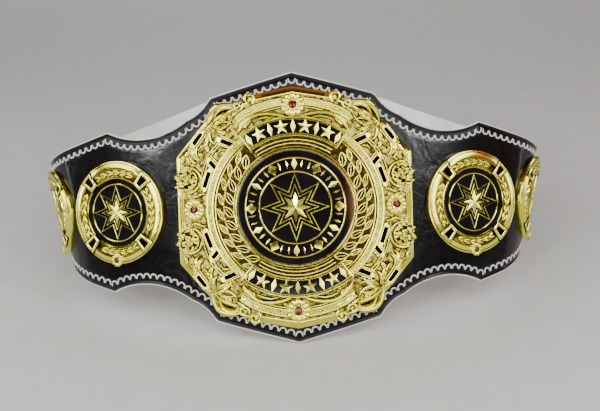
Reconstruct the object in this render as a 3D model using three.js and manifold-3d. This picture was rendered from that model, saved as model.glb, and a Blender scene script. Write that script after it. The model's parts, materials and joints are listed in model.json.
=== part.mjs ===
// A championship belt: a shaped black leather strap with a large gilded plate at the front,
// a round plate on each side of it and a smaller round one where the strap turns back.
//
// Every piece is drawn flat, as the strap would lie on a bench: s runs along the strap, t up
// it and n outward from its face. The finished pieces are then rolled onto the cone that the
// standing strap follows, so every plate keeps its small gap to the leather.

import * as THREE from "three";
import { mergeVertices } from "three/addons/utils/BufferGeometryUtils.js";
import Module from "manifold-3d";

const wasm = await Module();
wasm.setup();

// Driving sizes, in millimetres and degrees
const LEATHER = 2.4;
const LINING = 1;
const GAP = 0.3;
const HALF_LENGTH = 720;
const APEX_BELOW = 1180;
const EDGE_BREAK = 0.7;
const PLATE_THICK = 3.5;
const SKIRT = 5.5;
const SKIRT_FOOT = 1.0;
const POST_RADIUS = 2.5;
const POST_CAP_RADIUS = 5.5;
const SNAP_RADIUS = 6;
const BACK = -LEATHER - GAP - LINING;

// How the strap bends: up to which s, at what radius, and in how many flat folds
const BENDS = [
  { to: 120, radius: 420, folds: 3 },
  { to: 243, radius: 480, folds: 2 },
  { to: 249.5, radius: 24, folds: 1 },
  { to: 343.5, radius: 95, folds: 4 },
  { to: 500, radius: 700, folds: 2 },
  { to: HALF_LENGTH, radius: 420, folds: 3 },
];

// One quarter of the strap's edge, from the middle peak to the end of the tail
const STRAP_EDGE = [
  { s: 0, t: 136 },
  { s: 84, t: 113 },
  { s: 109.5, t: 91.6, through: [97, 98.2] },
  { s: 200, t: 84, through: [153, 75.5] },
  { s: 300, t: 57 },
  { s: 345, t: 53 },
  { s: 706, t: 50 },
  { s: 720, t: 36, through: [715.9, 45.9] },
];

// One quarter of the main plate's outline, at the foot of its skirt
const PLATE_EDGE = [
  { s: 0, t: 121 },
  { s: 44, t: 113 },
  { s: 78, t: 98 },
  { s: 91, t: 86 },
  { s: 120, t: 54 },
];

// The main plate's ring: inner rim, sunk wreath bed, flat outer band
const RING = {
  rimIn: 57.6, rimOut: 60.6, rimTop: 6.4,
  bedTop: 4.7, bandIn: 80.4, bandOut: 88.6, bandTop: 6.8,
};
const DISC_RADIUS = 57.2;

// The two curved name panels: middle direction, inner and outer radius, half angle
const BANNERS = [
  { name: "top_banner", middle: 90, inner: 71, outer: 90.6, half: 36.5, upright: 1 },
  { name: "bottom_banner", middle: 270, inner: 70, outer: 90, half: 38, upright: -1 },
];
const BANNER_TOP = 7.6;
const BANNER_BORDER = 1.3;
const BANNER_FLOOR = 6.5;

// The four stones of the main plate and the radius of each setting
const STONES = [
  { name: "gem_top", s: 0, t: 102.2, setting: 11.2 },
  { name: "gem_bottom", s: 0, t: -102.8, setting: 11.2 },
  { name: "gem_left", s: -101, t: 0, setting: 10.2 },
  { name: "gem_right", s: 101, t: 0, setting: 10.2 },
];
const STONE_RADIUS = 3.8;

// The round plates: where they sit along the strap and how large they are
const ROUND_PLATES = [
  { name: "side", s: 189.3, radius: 53.5 },
  { name: "end", s: 296.3, radius: 46 },
];

// Flat folds of the strap: the angle of each ruling about the apex and the turn along it
function foldLines() {
  const lines = [];
  let from = 0;
  for (const bend of BENDS) {
    const step = (bend.to - from) / bend.folds;
    for (let i = 0; i < bend.folds; i += 1) {
      const s = from + (i + 0.5) * step;
      lines.push({ angle: Math.atan2(s, APEX_BELOW), turn: step / bend.radius });
    }
    from = bend.to;
  }
  return lines;
}

const FOLDS = foldLines();

// The flat facets between the folds, each with its own ruling, side and outward directions
function flatFacets() {
  const up = new THREE.Vector3(0, 0, 1);
  const side = new THREE.Vector3(1, 0, 0);
  const out = new THREE.Vector3(0, -1, 0);
  const facets = [];
  let angle = 0;
  let lastTurn = 0;
  for (const fold of [...FOLDS, { angle: 1, turn: 0 }]) {
    facets.push({
      from: angle,
      to: fold.angle,
      up: up.clone(),
      side: side.clone(),
      out: out.clone(),
      leanFrom: -Math.tan(lastTurn / 2),
      leanTo: Math.tan(fold.turn / 2),
    });
    const swing = fold.angle - angle;
    const newUp = up.clone().multiplyScalar(Math.cos(swing)).addScaledVector(side, Math.sin(swing));
    side.multiplyScalar(Math.cos(swing)).addScaledVector(up, -Math.sin(swing));
    up.copy(newUp);
    side.applyAxisAngle(up, fold.turn);
    out.applyAxisAngle(up, fold.turn);
    angle = fold.angle;
    lastTurn = fold.turn;
  }
  return facets;
}

const FACETS = flatFacets();

// From the flat pattern to the rolled strap
function rollPoint(s, t, n) {
  const mirror = s < 0 ? -1 : 1;
  const reach = Math.hypot(s, APEX_BELOW + t);
  const angle = Math.atan2(Math.abs(s), APEX_BELOW + t);
  const facet = FACETS.find((each) => angle <= each.to) ?? FACETS.at(-1);
  const swing = angle - facet.from;
  const share = swing / (facet.to - facet.from);
  const lean = facet.leanFrom + (facet.leanTo - facet.leanFrom) * share;
  const along = new THREE.Vector3()
    .addScaledVector(facet.up, Math.cos(swing))
    .addScaledVector(facet.side, Math.sin(swing));
  const across = new THREE.Vector3()
    .addScaledVector(facet.side, Math.cos(swing))
    .addScaledVector(facet.up, -Math.sin(swing));
  const point = along.multiplyScalar(reach).addScaledVector(facet.out, n);
  point.addScaledVector(across, n * lean);
  point.x *= mirror;
  point.z -= APEX_BELOW;
  return point;
}

// Cut a list of flat triangles along every fold, so that no triangle crosses one
function cutAtFolds(triangles) {
  let pieces = triangles;
  for (const fold of FOLDS) {
    for (const mirror of [1, -1]) {
      const across = (p) => (mirror * p[0] * Math.cos(fold.angle)
        - (APEX_BELOW + p[1]) * Math.sin(fold.angle));
      pieces = pieces.flatMap((triangle) => cutTriangle(triangle, across));
    }
  }
  return pieces;
}

function cutTriangle(triangle, across) {
  const near = 0.02;
  const sides = triangle.map((p) => {
    const d = across(p);
    return Math.abs(d) < near ? 0 : Math.sign(d);
  });
  if (!sides.includes(1) || !sides.includes(-1)) {
    return [triangle];
  }
  const front = [];
  const back = [];
  for (let i = 0; i < 3; i += 1) {
    const a = triangle[i];
    const b = triangle[(i + 1) % 3];
    if (sides[i] >= 0) {
      front.push(a);
    }
    if (sides[i] <= 0) {
      back.push(a);
    }
    if (sides[i] * sides[(i + 1) % 3] < 0) {
      const met = meeting(a, b, across);
      front.push(met);
      back.push(met);
    }
  }
  return [...fan(front), ...fan(back)];
}

// The point where an edge meets a fold, worked out the same way from both of its ends
function meeting(a, b, across) {
  const swap = a[0] > b[0] || (a[0] === b[0] && (a[1] > b[1] || (a[1] === b[1] && a[2] > b[2])));
  const [p, q] = swap ? [b, a] : [a, b];
  const dp = across(p);
  const share = dp / (dp - across(q));
  return p.map((value, i) => value + (q[i] - value) * share);
}

function fan(corners) {
  const out = [];
  for (let i = 1; i + 1 < corners.length; i += 1) {
    out.push([corners[0], corners[i], corners[i + 1]]);
  }
  return out;
}

// Which flat facet a triangle lies in, counted from the middle and negative on the left
function facetOf(triangle) {
  const s = triangle[0][0] + triangle[1][0] + triangle[2][0];
  const t = triangle[0][1] + triangle[1][1] + triangle[2][1];
  const angle = Math.atan2(Math.abs(s), 3 * APEX_BELOW + t);
  return FACETS.findIndex((each) => angle <= each.to) * (s < 0 ? -1 : 1);
}

// Numbered points and the triangles between them, without the empty ones
function numbered(triangles) {
  const points = [];
  const numbers = new Map();
  const numberOf = (p) => {
    const key = p.map((value) => Math.round(value * 1e4)).join();
    if (!numbers.has(key)) {
      numbers.set(key, points.length);
      points.push(new THREE.Vector3(...p));
    }
    return numbers.get(key);
  };
  const faces = triangles
    .map((corners) => Object.assign(corners.map(numberOf), { facet: facetOf(corners) }))
    .filter(([a, b, c]) => a !== b && b !== c && c !== a);
  return { points, faces };
}

// Sort the triangles into flat regions, each grown from its largest triangle
function flatRegions(points, faces) {
  const neighbour = new Map();
  faces.forEach((face, i) => {
    face.forEach((a, j) => neighbour.set(`${a},${face[(j + 1) % 3]}`, i));
  });
  const normals = faces.map(([a, b, c]) => new THREE.Vector3()
    .subVectors(points[b], points[a])
    .cross(new THREE.Vector3().subVectors(points[c], points[a])));
  const areas = normals.map((normal) => normal.length());
  const order = faces.map((_, i) => i).sort((i, j) => areas[j] - areas[i]);
  const regionOf = new Array(faces.length).fill(-1);
  const regions = [];
  for (const seed of order) {
    if (regionOf[seed] >= 0) {
      continue;
    }
    const normal = normals[seed].clone().normalize();
    const plane = new THREE.Plane().setFromNormalAndCoplanarPoint(normal, points[faces[seed][0]]);
    const members = [seed];
    regionOf[seed] = regions.length;
    for (let k = 0; k < members.length; k += 1) {
      const face = faces[members[k]];
      for (let j = 0; j < 3; j += 1) {
        const next = neighbour.get(`${face[(j + 1) % 3]},${face[j]}`);
        if (next === undefined || regionOf[next] >= 0 || faces[next].facet !== faces[seed].facet) {
          continue;
        }
        const flat = faces[next].every((v) => Math.abs(plane.distanceToPoint(points[v])) < 1e-3);
        if (flat && (areas[next] < 1e-3 || normals[next].dot(normal) > 0.9 * areas[next])) {
          regionOf[next] = regions.length;
          members.push(next);
        }
      }
    }
    regions.push({ normal, members });
  }
  return { regions, regionOf, neighbour };
}

// Points in the middle of a straight border between two regions, which can be left out
function straightPoints(points, faces, regionOf, neighbour) {
  const around = new Map();
  const borders = new Map();
  faces.forEach((face, i) => {
    face.forEach((a, j) => {
      const b = face[(j + 1) % 3];
      around.set(a, (around.get(a) ?? new Set()).add(regionOf[i]));
      if (regionOf[neighbour.get(`${b},${a}`)] !== regionOf[i]) {
        borders.set(a, (borders.get(a) ?? new Set()).add(b));
        borders.set(b, (borders.get(b) ?? new Set()).add(a));
      }
    });
  });
  const dropped = new Set();
  for (const [v, near] of borders) {
    if (around.get(v).size !== 2 || near.size !== 2) {
      continue;
    }
    const [a, b] = [...near];
    const line = new THREE.Line3(points[a], points[b]);
    const foot = line.closestPointToPoint(points[v], true, new THREE.Vector3());
    if (foot.distanceTo(points[v]) < 3e-4) {
      dropped.add(v);
    }
  }
  return dropped;
}

// The closed outlines of one region, each a run of point numbers
function outlinesOf(members, flatAt, faces, region, regionOf, neighbour) {
  const leaving = new Map();
  for (const i of members) {
    faces[i].forEach((a, j) => {
      const b = faces[i][(j + 1) % 3];
      if (regionOf[neighbour.get(`${b},${a}`)] !== region) {
        leaving.set(a, [...(leaving.get(a) ?? []), b]);
      }
    });
  }
  const heading = (a, b) => Math.atan2(flatAt[b].y - flatAt[a].y, flatAt[b].x - flatAt[a].x);
  const outlines = [];
  while (leaving.size > 0) {
    const [start] = leaving.keys();
    const outline = [];
    let before = -1;
    let at = start;
    do {
      const ways = leaving.get(at);
      let pick = 0;
      if (ways.length > 1 && before >= 0) {
        const back = heading(at, before);
        const turn = (b) => (back - heading(at, b) + 4 * Math.PI) % (2 * Math.PI);
        pick = ways.reduce((best, b, k) => (turn(b) < turn(ways[best]) ? k : best), 0);
      }
      const [next] = ways.splice(pick, 1);
      if (ways.length === 0) {
        leaving.delete(at);
      }
      outline.push(at);
      before = at;
      at = next;
    } while (at !== start);
    outlines.push(outline);
  }
  return outlines;
}

// Fill every flat region of a solid again with as few triangles as its outline needs
function refill(triangles) {
  const { points, faces } = numbered(triangles);
  const { regions, regionOf, neighbour } = flatRegions(points, faces);
  const dropped = straightPoints(points, faces, regionOf, neighbour);
  const filled = [];
  regions.forEach(({ normal, members }, region) => {
    const u = new THREE.Vector3(0.31, 0.83, 0.47).cross(normal).normalize();
    const v = normal.clone().cross(u);
    const flatAt = {};
    for (const number of members.flatMap((i) => [...faces[i]])) {
      flatAt[number] = new THREE.Vector2(points[number].dot(u), points[number].dot(v));
    }
    const outlines = outlinesOf(members, flatAt, faces, region, regionOf, neighbour)
      .map((outline) => outline.filter((number) => !dropped.has(number)))
      .filter((outline) => outline.length > 2);
    const size = (outline) => THREE.ShapeUtils.area(outline.map((number) => flatAt[number]));
    outlines.sort((a, b) => size(b) - size(a));
    if (outlines.length > 0) {
      const corners = outlines.flat();
      const [contour, ...holes] = outlines.map((each) => each.map((number) => flatAt[number]));
      for (const face of THREE.ShapeUtils.triangulateShape(contour, holes)) {
        filled.push(face.map((k) => points[corners[k]].toArray()));
      }
    }
  });
  return filled;
}

// Solids from three.js geometry
function toSolid(geometry) {
  geometry.deleteAttribute("normal");
  geometry.deleteAttribute("uv");
  const merged = mergeVertices(geometry, 1e-4);
  const index = Array.from(merged.index.array);
  const kept = [];
  for (let i = 0; i < index.length; i += 3) {
    const [a, b, c] = index.slice(i, i + 3);
    if (a !== b && b !== c && c !== a) {
      kept.push(a, b, c);
    }
  }
  return closedSolid(Array.from(merged.attributes.position.array), kept);
}

function closedSolid(positions, index) {
  const corner = (i) => new THREE.Vector3().fromArray(positions, index[i] * 3);
  let volume = 0;
  for (let i = 0; i < index.length; i += 3) {
    volume += corner(i).dot(corner(i + 1).cross(corner(i + 2)));
  }
  const facing = volume < 0 ? index.slice().reverse() : index;
  return new wasm.Manifold(new wasm.Mesh({
    numProp: 3,
    vertProperties: new Float32Array(positions),
    triVerts: new Uint32Array(facing),
  }));
}

function joined(solids) {
  return solids.reduce((whole, each) => whole.add(each));
}

// A straight-sided piece over an outline
function prism(points, low, high) {
  const shape = new THREE.Shape(points.map(([x, y]) => new THREE.Vector2(x, y)));
  const geometry = new THREE.ExtrudeGeometry(shape, { depth: high - low, bevelEnabled: false });
  geometry.translate(0, 0, low);
  return toSolid(geometry);
}

// A piece skinned over several outlines with the same number of points
function stack(levels) {
  const count = levels[0].points.length;
  const positions = levels.flatMap(({ points, n }) => points.flatMap(([x, y]) => [x, y, n]));
  const index = [];
  for (let level = 0; level + 1 < levels.length; level += 1) {
    for (let i = 0; i < count; i += 1) {
      const a = level * count + i;
      const b = level * count + ((i + 1) % count);
      index.push(a, b, b + count, a, b + count, a + count);
    }
  }
  const cap = (level) => THREE.ShapeUtils.triangulateShape(
    levels[level].points.map(([x, y]) => new THREE.Vector2(x, y)),
    [],
  );
  for (const [a, b, c] of cap(0)) {
    index.push(a, c, b);
  }
  const top = (levels.length - 1) * count;
  for (const [a, b, c] of cap(levels.length - 1)) {
    index.push(top + a, top + b, top + c);
  }
  return closedSolid(positions, index);
}

// A piece turned about the n axis at a place on the pattern; the profile lists [radius, n]
function turned(profile, sides, s = 0, t = 0) {
  const points = [...profile, profile[0]].map(([r, n]) => new THREE.Vector2(r, n));
  const geometry = new THREE.LatheGeometry(points, sides, Math.PI / sides);
  geometry.rotateX(Math.PI / 2);
  geometry.scale(1, -1, 1);
  geometry.translate(s, t, 0);
  return toSolid(geometry);
}

// A raised bar along a line of [s, t, width] points, with a ridge
function bar(path, low, high) {
  const positions = [];
  const index = [];
  path.forEach(([s, t, width], i) => {
    const before = path[Math.max(i - 1, 0)];
    const after = path[Math.min(i + 1, path.length - 1)];
    const run = new THREE.Vector2(after[0] - before[0], after[1] - before[1]).normalize();
    for (const [side, n] of [[-0.5, low], [0.5, low], [0, high]]) {
      positions.push(s - run.y * side * width, t + run.x * side * width, n);
    }
  });
  for (let i = 0; i + 1 < path.length; i += 1) {
    for (let j = 0; j < 3; j += 1) {
      const a = i * 3 + j;
      const b = i * 3 + ((j + 1) % 3);
      index.push(a, b, b + 3, a, b + 3, a + 3);
    }
  }
  const last = (path.length - 1) * 3;
  index.push(0, 2, 1, last, last + 1, last + 2);
  return closedSolid(positions, index);
}

// A pointed leaf with a sharp ridge, growing from one point towards another
function leaf(from, to, width, low, high) {
  const run = [to[0] - from[0], to[1] - from[1]];
  const at = (along, side) => [
    from[0] + run[0] * along - run[1] * side,
    from[1] + run[1] * along + run[0] * side,
  ];
  const half = width / 2 / Math.hypot(run[0], run[1]);
  const foot = [at(0, 0), at(0.42, -half), at(1, 0), at(0.42, half)];
  const positions = [
    ...foot.flatMap(([x, y]) => [x, y, low]),
    ...at(0.42, 0), high,
  ];
  const index = [0, 2, 1, 0, 3, 2];
  for (let i = 0; i < 4; i += 1) {
    index.push(i, (i + 1) % 4, 4);
  }
  return closedSolid(positions, index);
}

// Points of a circle arc, angles in degrees
function arc(s, t, radius, from, to, steps) {
  return Array.from({ length: steps + 1 }, (_, i) => {
    const a = THREE.MathUtils.degToRad(from + ((to - from) * i) / steps);
    return [s + radius * Math.cos(a), t + radius * Math.sin(a)];
  });
}

// A coiled path of [s, t, width] points that tightens and thins towards its middle
function coil(s, t, radius, from, sweep, width, steps) {
  return Array.from({ length: steps + 1 }, (_, i) => {
    const share = i / steps;
    const a = THREE.MathUtils.degToRad(from + sweep * share);
    const r = radius * (1 - 0.72 * share);
    return [s + r * Math.cos(a), t + r * Math.sin(a), width * (1 - 0.45 * share)];
  });
}

function arcBlock(banner, inset, low, high) {
  const { middle, inner, outer, half } = banner;
  const outerSlack = THREE.MathUtils.radToDeg(inset / outer);
  const innerSlack = THREE.MathUtils.radToDeg(inset / inner);
  return prism([
    ...arc(0, 0, outer - inset, middle - half + outerSlack, middle + half - outerSlack, 9),
    ...arc(0, 0, inner + inset, middle + half - innerSlack, middle - half + innerSlack, 9),
  ], low, high);
}

// The circle through three points, as a run of points that leaves out the first one
function throughPoints(a, b, c, steps) {
  const d = 2 * (a[0] * (b[1] - c[1]) + b[0] * (c[1] - a[1]) + c[0] * (a[1] - b[1]));
  const sq = (p) => p[0] ** 2 + p[1] ** 2;
  const s = (sq(a) * (b[1] - c[1]) + sq(b) * (c[1] - a[1]) + sq(c) * (a[1] - b[1])) / d;
  const t = (sq(a) * (c[0] - b[0]) + sq(b) * (a[0] - c[0]) + sq(c) * (b[0] - a[0])) / d;
  const radius = Math.hypot(a[0] - s, a[1] - t);
  const angleOf = (p) => Math.atan2(p[1] - t, p[0] - s);
  const start = angleOf(a);
  let sweep = angleOf(c) - start;
  if (sweep > Math.PI) {
    sweep -= 2 * Math.PI;
  }
  if (sweep < -Math.PI) {
    sweep += 2 * Math.PI;
  }
  return Array.from({ length: steps }, (_, i) => {
    const angle = start + (sweep * (i + 1)) / steps;
    return [s + radius * Math.cos(angle), t + radius * Math.sin(angle)];
  });
}

// A closed outline from one quarter of it, turning counter-clockwise
function fourfold(quarter) {
  const right = [...quarter].reverse();
  const rightTop = right.filter(([, t]) => t > 0);
  const lowRight = quarter.filter(([s, t]) => s >= 0 && t > 0).map(([s, t]) => [s, -t]);
  const half = [...lowRight, ...rightTop];
  const left = half.filter(([s]) => s > 0).reverse().map(([s, t]) => [-s, t]);
  return [...half, ...left];
}

function strapOutline() {
  const quarter = [[STRAP_EDGE[0].s, STRAP_EDGE[0].t]];
  for (const { s, t, through } of STRAP_EDGE.slice(1)) {
    const steps = s === 200 ? 8 : 3;
    quarter.push(...(through ? throughPoints(quarter.at(-1), through, [s, t], steps) : [[s, t]]));
  }
  return fourfold(quarter);
}

// The same outline moved inward by the same distance everywhere
function inset(points, distance) {
  return points.map(([x, y], i) => {
    const [px, py] = points[(i + points.length - 1) % points.length];
    const [nx, ny] = points[(i + 1) % points.length];
    const a = new THREE.Vector2(y - py, px - x).normalize();
    const b = new THREE.Vector2(ny - y, x - nx).normalize();
    const mitre = a.add(b).divideScalar(1 + a.dot(b));
    return [x - mitre.x * distance, y - mitre.y * distance];
  });
}

// Where the plates are held: a post through the leather for each
function postPlaces() {
  const places = [];
  for (const s of [-62, 62]) {
    for (const t of [62, -62]) {
      places.push({ name: `main_post_${places.length + 1}`, s, t });
    }
  }
  for (const { name, s } of ROUND_PLATES) {
    for (const side of [-1, 1]) {
      for (const t of [18, -18]) {
        const end = side < 0 ? "left" : "right";
        places.push({ name: `${name}_post_${end}_${t > 0 ? "upper" : "lower"}`, s: side * s, t });
      }
    }
  }
  return places;
}

const POSTS = postPlaces();

// Hidden press fasteners of the tails
function snapPlaces() {
  const places = [];
  for (const side of [-1, 1]) {
    for (const s of [640, 690]) {
      places.push({ name: `snap_${side < 0 ? "left" : "right"}_${places.length % 2 + 1}`, s: side * s });
    }
  }
  return places;
}

const SNAPS = snapPlaces();

// Post and fastener holes through the leather and its lining
function pierced(layer) {
  const drill = (radius, s, t) => turned([[0, -6], [radius, -6], [radius, 1], [0, 1]], 8, s, t);
  const holes = [
    ...POSTS.map(({ s, t }) => drill(POST_RADIUS + GAP, s, t)),
    ...SNAPS.map(({ s }) => drill(2.3, s, 0)),
  ];
  return layer.subtract(joined(holes));
}

function makeStrap() {
  const outline = strapOutline();
  return pierced(stack([
    { points: outline, n: -LEATHER },
    { points: outline, n: -EDGE_BREAK },
    { points: inset(outline, EDGE_BREAK), n: 0 },
  ]));
}

function makeLining() {
  const outline = inset(strapOutline(), 0.4);
  return pierced(prism(outline, BACK, BACK + LINING));
}

function makePost({ s, t }) {
  const tip = GAP + 1.2;
  return turned([
    [0, BACK - GAP - 1.6],
    [POST_CAP_RADIUS, BACK - GAP - 1.6],
    [POST_CAP_RADIUS, BACK - GAP],
    [POST_RADIUS, BACK - GAP],
    [POST_RADIUS, tip],
    [0, tip],
  ], 8, s, t);
}

function makeSnap({ s }) {
  const back = BACK - GAP;
  return turned([
    [0, back - 2.4],
    [SNAP_RADIUS - 1.5, back - 2.4],
    [SNAP_RADIUS, back],
    [2, back],
    [2, GAP],
    [SNAP_RADIUS, GAP],
    [SNAP_RADIUS - 1.5, GAP + 1.6],
    [0, GAP + 1.6],
  ], 8, s, 0);
}

// Blind holes for the posts, cut into the back of a plate
function postHoles(reaches) {
  const holes = POSTS.filter(reaches).map(({ s, t }) => (
    turned([[0, -1], [POST_RADIUS + GAP, -1], [POST_RADIUS + GAP, 1.8], [0, 1.8]], 8, s, t)
  ));
  return joined(holes);
}

// A stone's setting: a many-petalled flower with a seat for the stone
function setting({ s, t, setting: radius }) {
  const petals = 10;
  const flower = (scale) => Array.from({ length: petals * 2 }, (_, i) => {
    const a = (i * Math.PI) / petals;
    const r = scale * (i % 2 ? 0.86 * radius : radius);
    return [s + r * Math.cos(a), t + r * Math.sin(a)];
  });
  const body = stack([
    { points: flower(0.96), n: PLATE_THICK - 1 },
    { points: flower(1), n: 6.2 },
    { points: flower(0.62), n: 8.4 },
  ]);
  return body;
}

function stoneSeat({ s, t }, floor) {
  const r = STONE_RADIUS + GAP;
  return turned([[0, floor], [r, floor], [r, floor + 9], [0, floor + 9]], 8, s, t);
}

function stone({ s, t }, floor, radius = STONE_RADIUS) {
  return turned([
    [0, floor + GAP],
    [radius, floor + GAP],
    [radius, floor + 2],
    [radius * 0.62, floor + 3.4],
    [0, floor + 3.7],
  ], 8, s, t);
}

// A band of fine ribs inside a rectangle, the ribs running along it
function reeding(s0, s1, t0, t1, lying, ribs, high) {
  const low = 1.4;
  const pieces = [];
  for (let i = 0; i < ribs; i += 1) {
    const share = (i + 0.5) / ribs;
    const across = lying ? t0 + (t1 - t0) * share : s0 + (s1 - s0) * share;
    const width = ((lying ? t1 - t0 : s1 - s0) / ribs) * 1.1;
    const path = lying
      ? [[s0, across, width], [s1, across, width]]
      : [[across, t0, width], [across, t1, width]];
    pieces.push(bar(path, low, high));
  }
  return pieces;
}

// The ornament of one quarter of the main plate: curls, coils, leaf fan, strapwork, reeding
function quarterOrnament() {
  const low = PLATE_THICK - 1;
  const pieces = [
    bar(coil(42.5, 111.5, 6.6, 200, -300, 4.2, 6), low, 7.2),
    bar(coil(55, 105, 4.4, 20, 280, 3.2, 5), low, 6.6),
    bar(coil(107, 32, 10.6, 100, 330, 5.4, 7), low, 7.6),
    turned([[0, low], [3.4, low], [2.6, 8], [0, 8.6]], 8, 107, 32),
    bar([[107, 42, 3.6], [104.5, 51, 3.4], [98, 59, 3], [91, 64, 2.2]], low, 6.8),
    bar([[60.6, 65.9, 2.4], [72.8, 71.1, 2.4]], low, 6.2),
    bar([[77.6, 42, 2.4], [85.1, 48.7, 2.4]], low, 6.2),
    bar(arc(0, 0, 95.4, 53, 80, 5).map(([s, t], i) => [s, t, 2 + i * 0.35]), low, 6.8),
    bar([[63, 99, 2.2], [66, 92, 2.6], [72, 87, 3]], low, 6.6),
    bar([[88, 76, 2.2], [83, 70, 2.6], [78, 66, 2.6]], low, 6.2),
    ...reeding(13.5, 36, 96.8, 104.2, true, 3, 5.6),
  ];
  for (const [turn, length] of [[-50, 11], [-25, 15], [0, 17], [25, 15], [50, 11]]) {
    const a = THREE.MathUtils.degToRad(47 + turn);
    const tip = [69 + length * Math.cos(a), 73 + length * Math.sin(a)];
    pieces.push(leaf([69, 73], tip, 5.4, low + 0.5, 7.8));
  }
  return joined(pieces);
}

// Slender dark slots sunk in one quarter of the main plate
function quarterSlots() {
  const slots = [
    { from: [90, 77.6], to: [99.6, 66.3] },
    { from: [92.3, 38.5], to: [96.4, 24] },
    { from: [20, 109.5], to: [32, 107] },
  ];
  const floor = GAP + PLATE_THICK - 1.2;
  return joined(slots.map(({ from, to }) => {
    const run = new THREE.Vector2(to[0] - from[0], to[1] - from[1]).normalize();
    const corner = ([s, t], side) => [s - run.y * side * 1.3, t + run.x * side * 1.3];
    return prism([corner(from, -1), corner(to, -1), corner(to, 1), corner(from, 1)], floor, floor + 3);
  }));
}

// A wreath of paired leaves between two directions, all pointing the same way round
function wreath(radius, spread, from, to, pairs, length, low, high) {
  const leaves = [];
  for (let i = 0; i < pairs; i += 1) {
    const a = from + ((to - from) * (i + 0.5)) / pairs;
    const ahead = Math.sign(to - from) * THREE.MathUtils.radToDeg(length / radius);
    for (const side of [-1, 1]) {
      const root = arc(0, 0, radius + side * 0.15 * spread, a, a, 1)[0];
      const tip = arc(0, 0, radius + side * spread, a + ahead, a + ahead, 1)[0];
      leaves.push(leaf(root, tip, length * 0.42, low, high));
    }
  }
  return leaves;
}

function mirrored(solid, flipS, flipT) {
  const mesh = solid.getMesh();
  const positions = Array.from(mesh.vertProperties).map((value, i) => {
    const flip = (i % 3 === 0 && flipS) || (i % 3 === 1 && flipT);
    return flip ? -value : value;
  });
  return closedSolid(positions, Array.from(mesh.triVerts));
}

function fourQuarters(solid) {
  return joined([
    solid,
    mirrored(solid, true, false),
    mirrored(solid, false, true),
    mirrored(solid, true, true),
  ]);
}

function makeMainPlate() {
  const foot = fourfold(PLATE_EDGE.map(({ s, t }) => [s, t]));
  const face = inset(foot, SKIRT);
  let plate = stack([
    { points: foot, n: GAP },
    { points: foot, n: GAP + SKIRT_FOOT },
    { points: face, n: GAP + PLATE_THICK },
  ]);
  const ring = turned([
    [RING.rimIn, 2], [RING.bandOut, 2], [RING.bandOut, RING.bandTop], [RING.bandIn, RING.bandTop],
    [RING.bandIn - 0.6, RING.bedTop], [RING.rimOut, RING.bedTop],
    [RING.rimOut - 0.5, RING.rimTop], [RING.rimIn, RING.rimTop],
  ], 36);
  const leaves = [
    ...wreath(70.2, 6.6, -49, 50, 8, 11, RING.bedTop - 0.6, RING.bedTop + 2.2),
    ...wreath(70.2, 6.6, 229, 130, 8, 11, RING.bedTop - 0.6, RING.bedTop + 2.2),
  ];
  plate = plate.add(ring).add(joined(leaves));
  plate = plate.add(fourQuarters(quarterOrnament()));
  plate = plate.add(joined([
    ...reeding(112.5, 119.6, -19, 19, false, 3, 5.6),
    ...reeding(-119.6, -112.5, -19, 19, false, 3, 5.6),
  ]));
  for (const banner of BANNERS) {
    plate = plate.add(arcBlock(banner, 0, 2, BANNER_TOP));
  }
  plate = plate.add(joined(STONES.map(setting)));
  plate = plate.subtract(fourQuarters(quarterSlots()));
  for (const banner of BANNERS) {
    plate = plate.subtract(arcBlock(banner, BANNER_BORDER, BANNER_FLOOR, 20));
  }
  for (const each of STONES) {
    plate = plate.subtract(stoneSeat(each, 5));
  }
  return plate.subtract(postHoles(({ name }) => name.startsWith("main")));
}

// A flat figure moved to a place on a circle and turned to stand on it
function placed(points, radius, degrees, upright) {
  const a = THREE.MathUtils.degToRad(degrees);
  const turn = a - (upright * Math.PI) / 2;
  return points.map(([x, y]) => [
    radius * Math.cos(a) + x * Math.cos(turn) - y * Math.sin(turn),
    radius * Math.sin(a) + x * Math.sin(turn) + y * Math.cos(turn),
  ]);
}

function starPoints(tips, outer, inner) {
  return Array.from({ length: tips * 2 }, (_, i) => {
    const a = Math.PI / 2 + (i * Math.PI) / tips;
    const r = i % 2 ? inner : outer;
    return [r * Math.cos(a), r * Math.sin(a)];
  });
}

// A row of stars and lozenges inside a thin border, in place of lettering
function makeBannerRow(banner) {
  const low = BANNER_FLOOR + 2 * GAP + 0.6;
  const high = low + 0.9;
  const outer = arcBlock(banner, BANNER_BORDER + 1, low, high);
  const pieces = [outer.subtract(arcBlock(banner, BANNER_BORDER + 2, low - 1, high + 1))];
  const radius = (banner.inner + banner.outer) / 2;
  const reach = (banner.outer - banner.inner) / 2 - BANNER_BORDER - 1.4;
  const step = (banner.half - 4) / 4;
  for (let i = -4; i <= 4; i += 1) {
    const lozenge = [[0, -reach], [2.3, 0], [0, reach], [-2.3, 0]];
    const star = starPoints(5, reach * 1.06, reach * 0.42).map(([x, y]) => [x, y - 0.6]);
    const figure = placed(i % 2 ? star : lozenge, radius, banner.middle - i * step, banner.upright);
    pieces.push(prism(figure, low, high));
  }
  return joined(pieces);
}

function washer(inner, outer, low, high, sides, s = 0) {
  return turned([[inner, low], [outer, low], [outer, high], [inner, high]], sides, s, 0);
}

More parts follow.
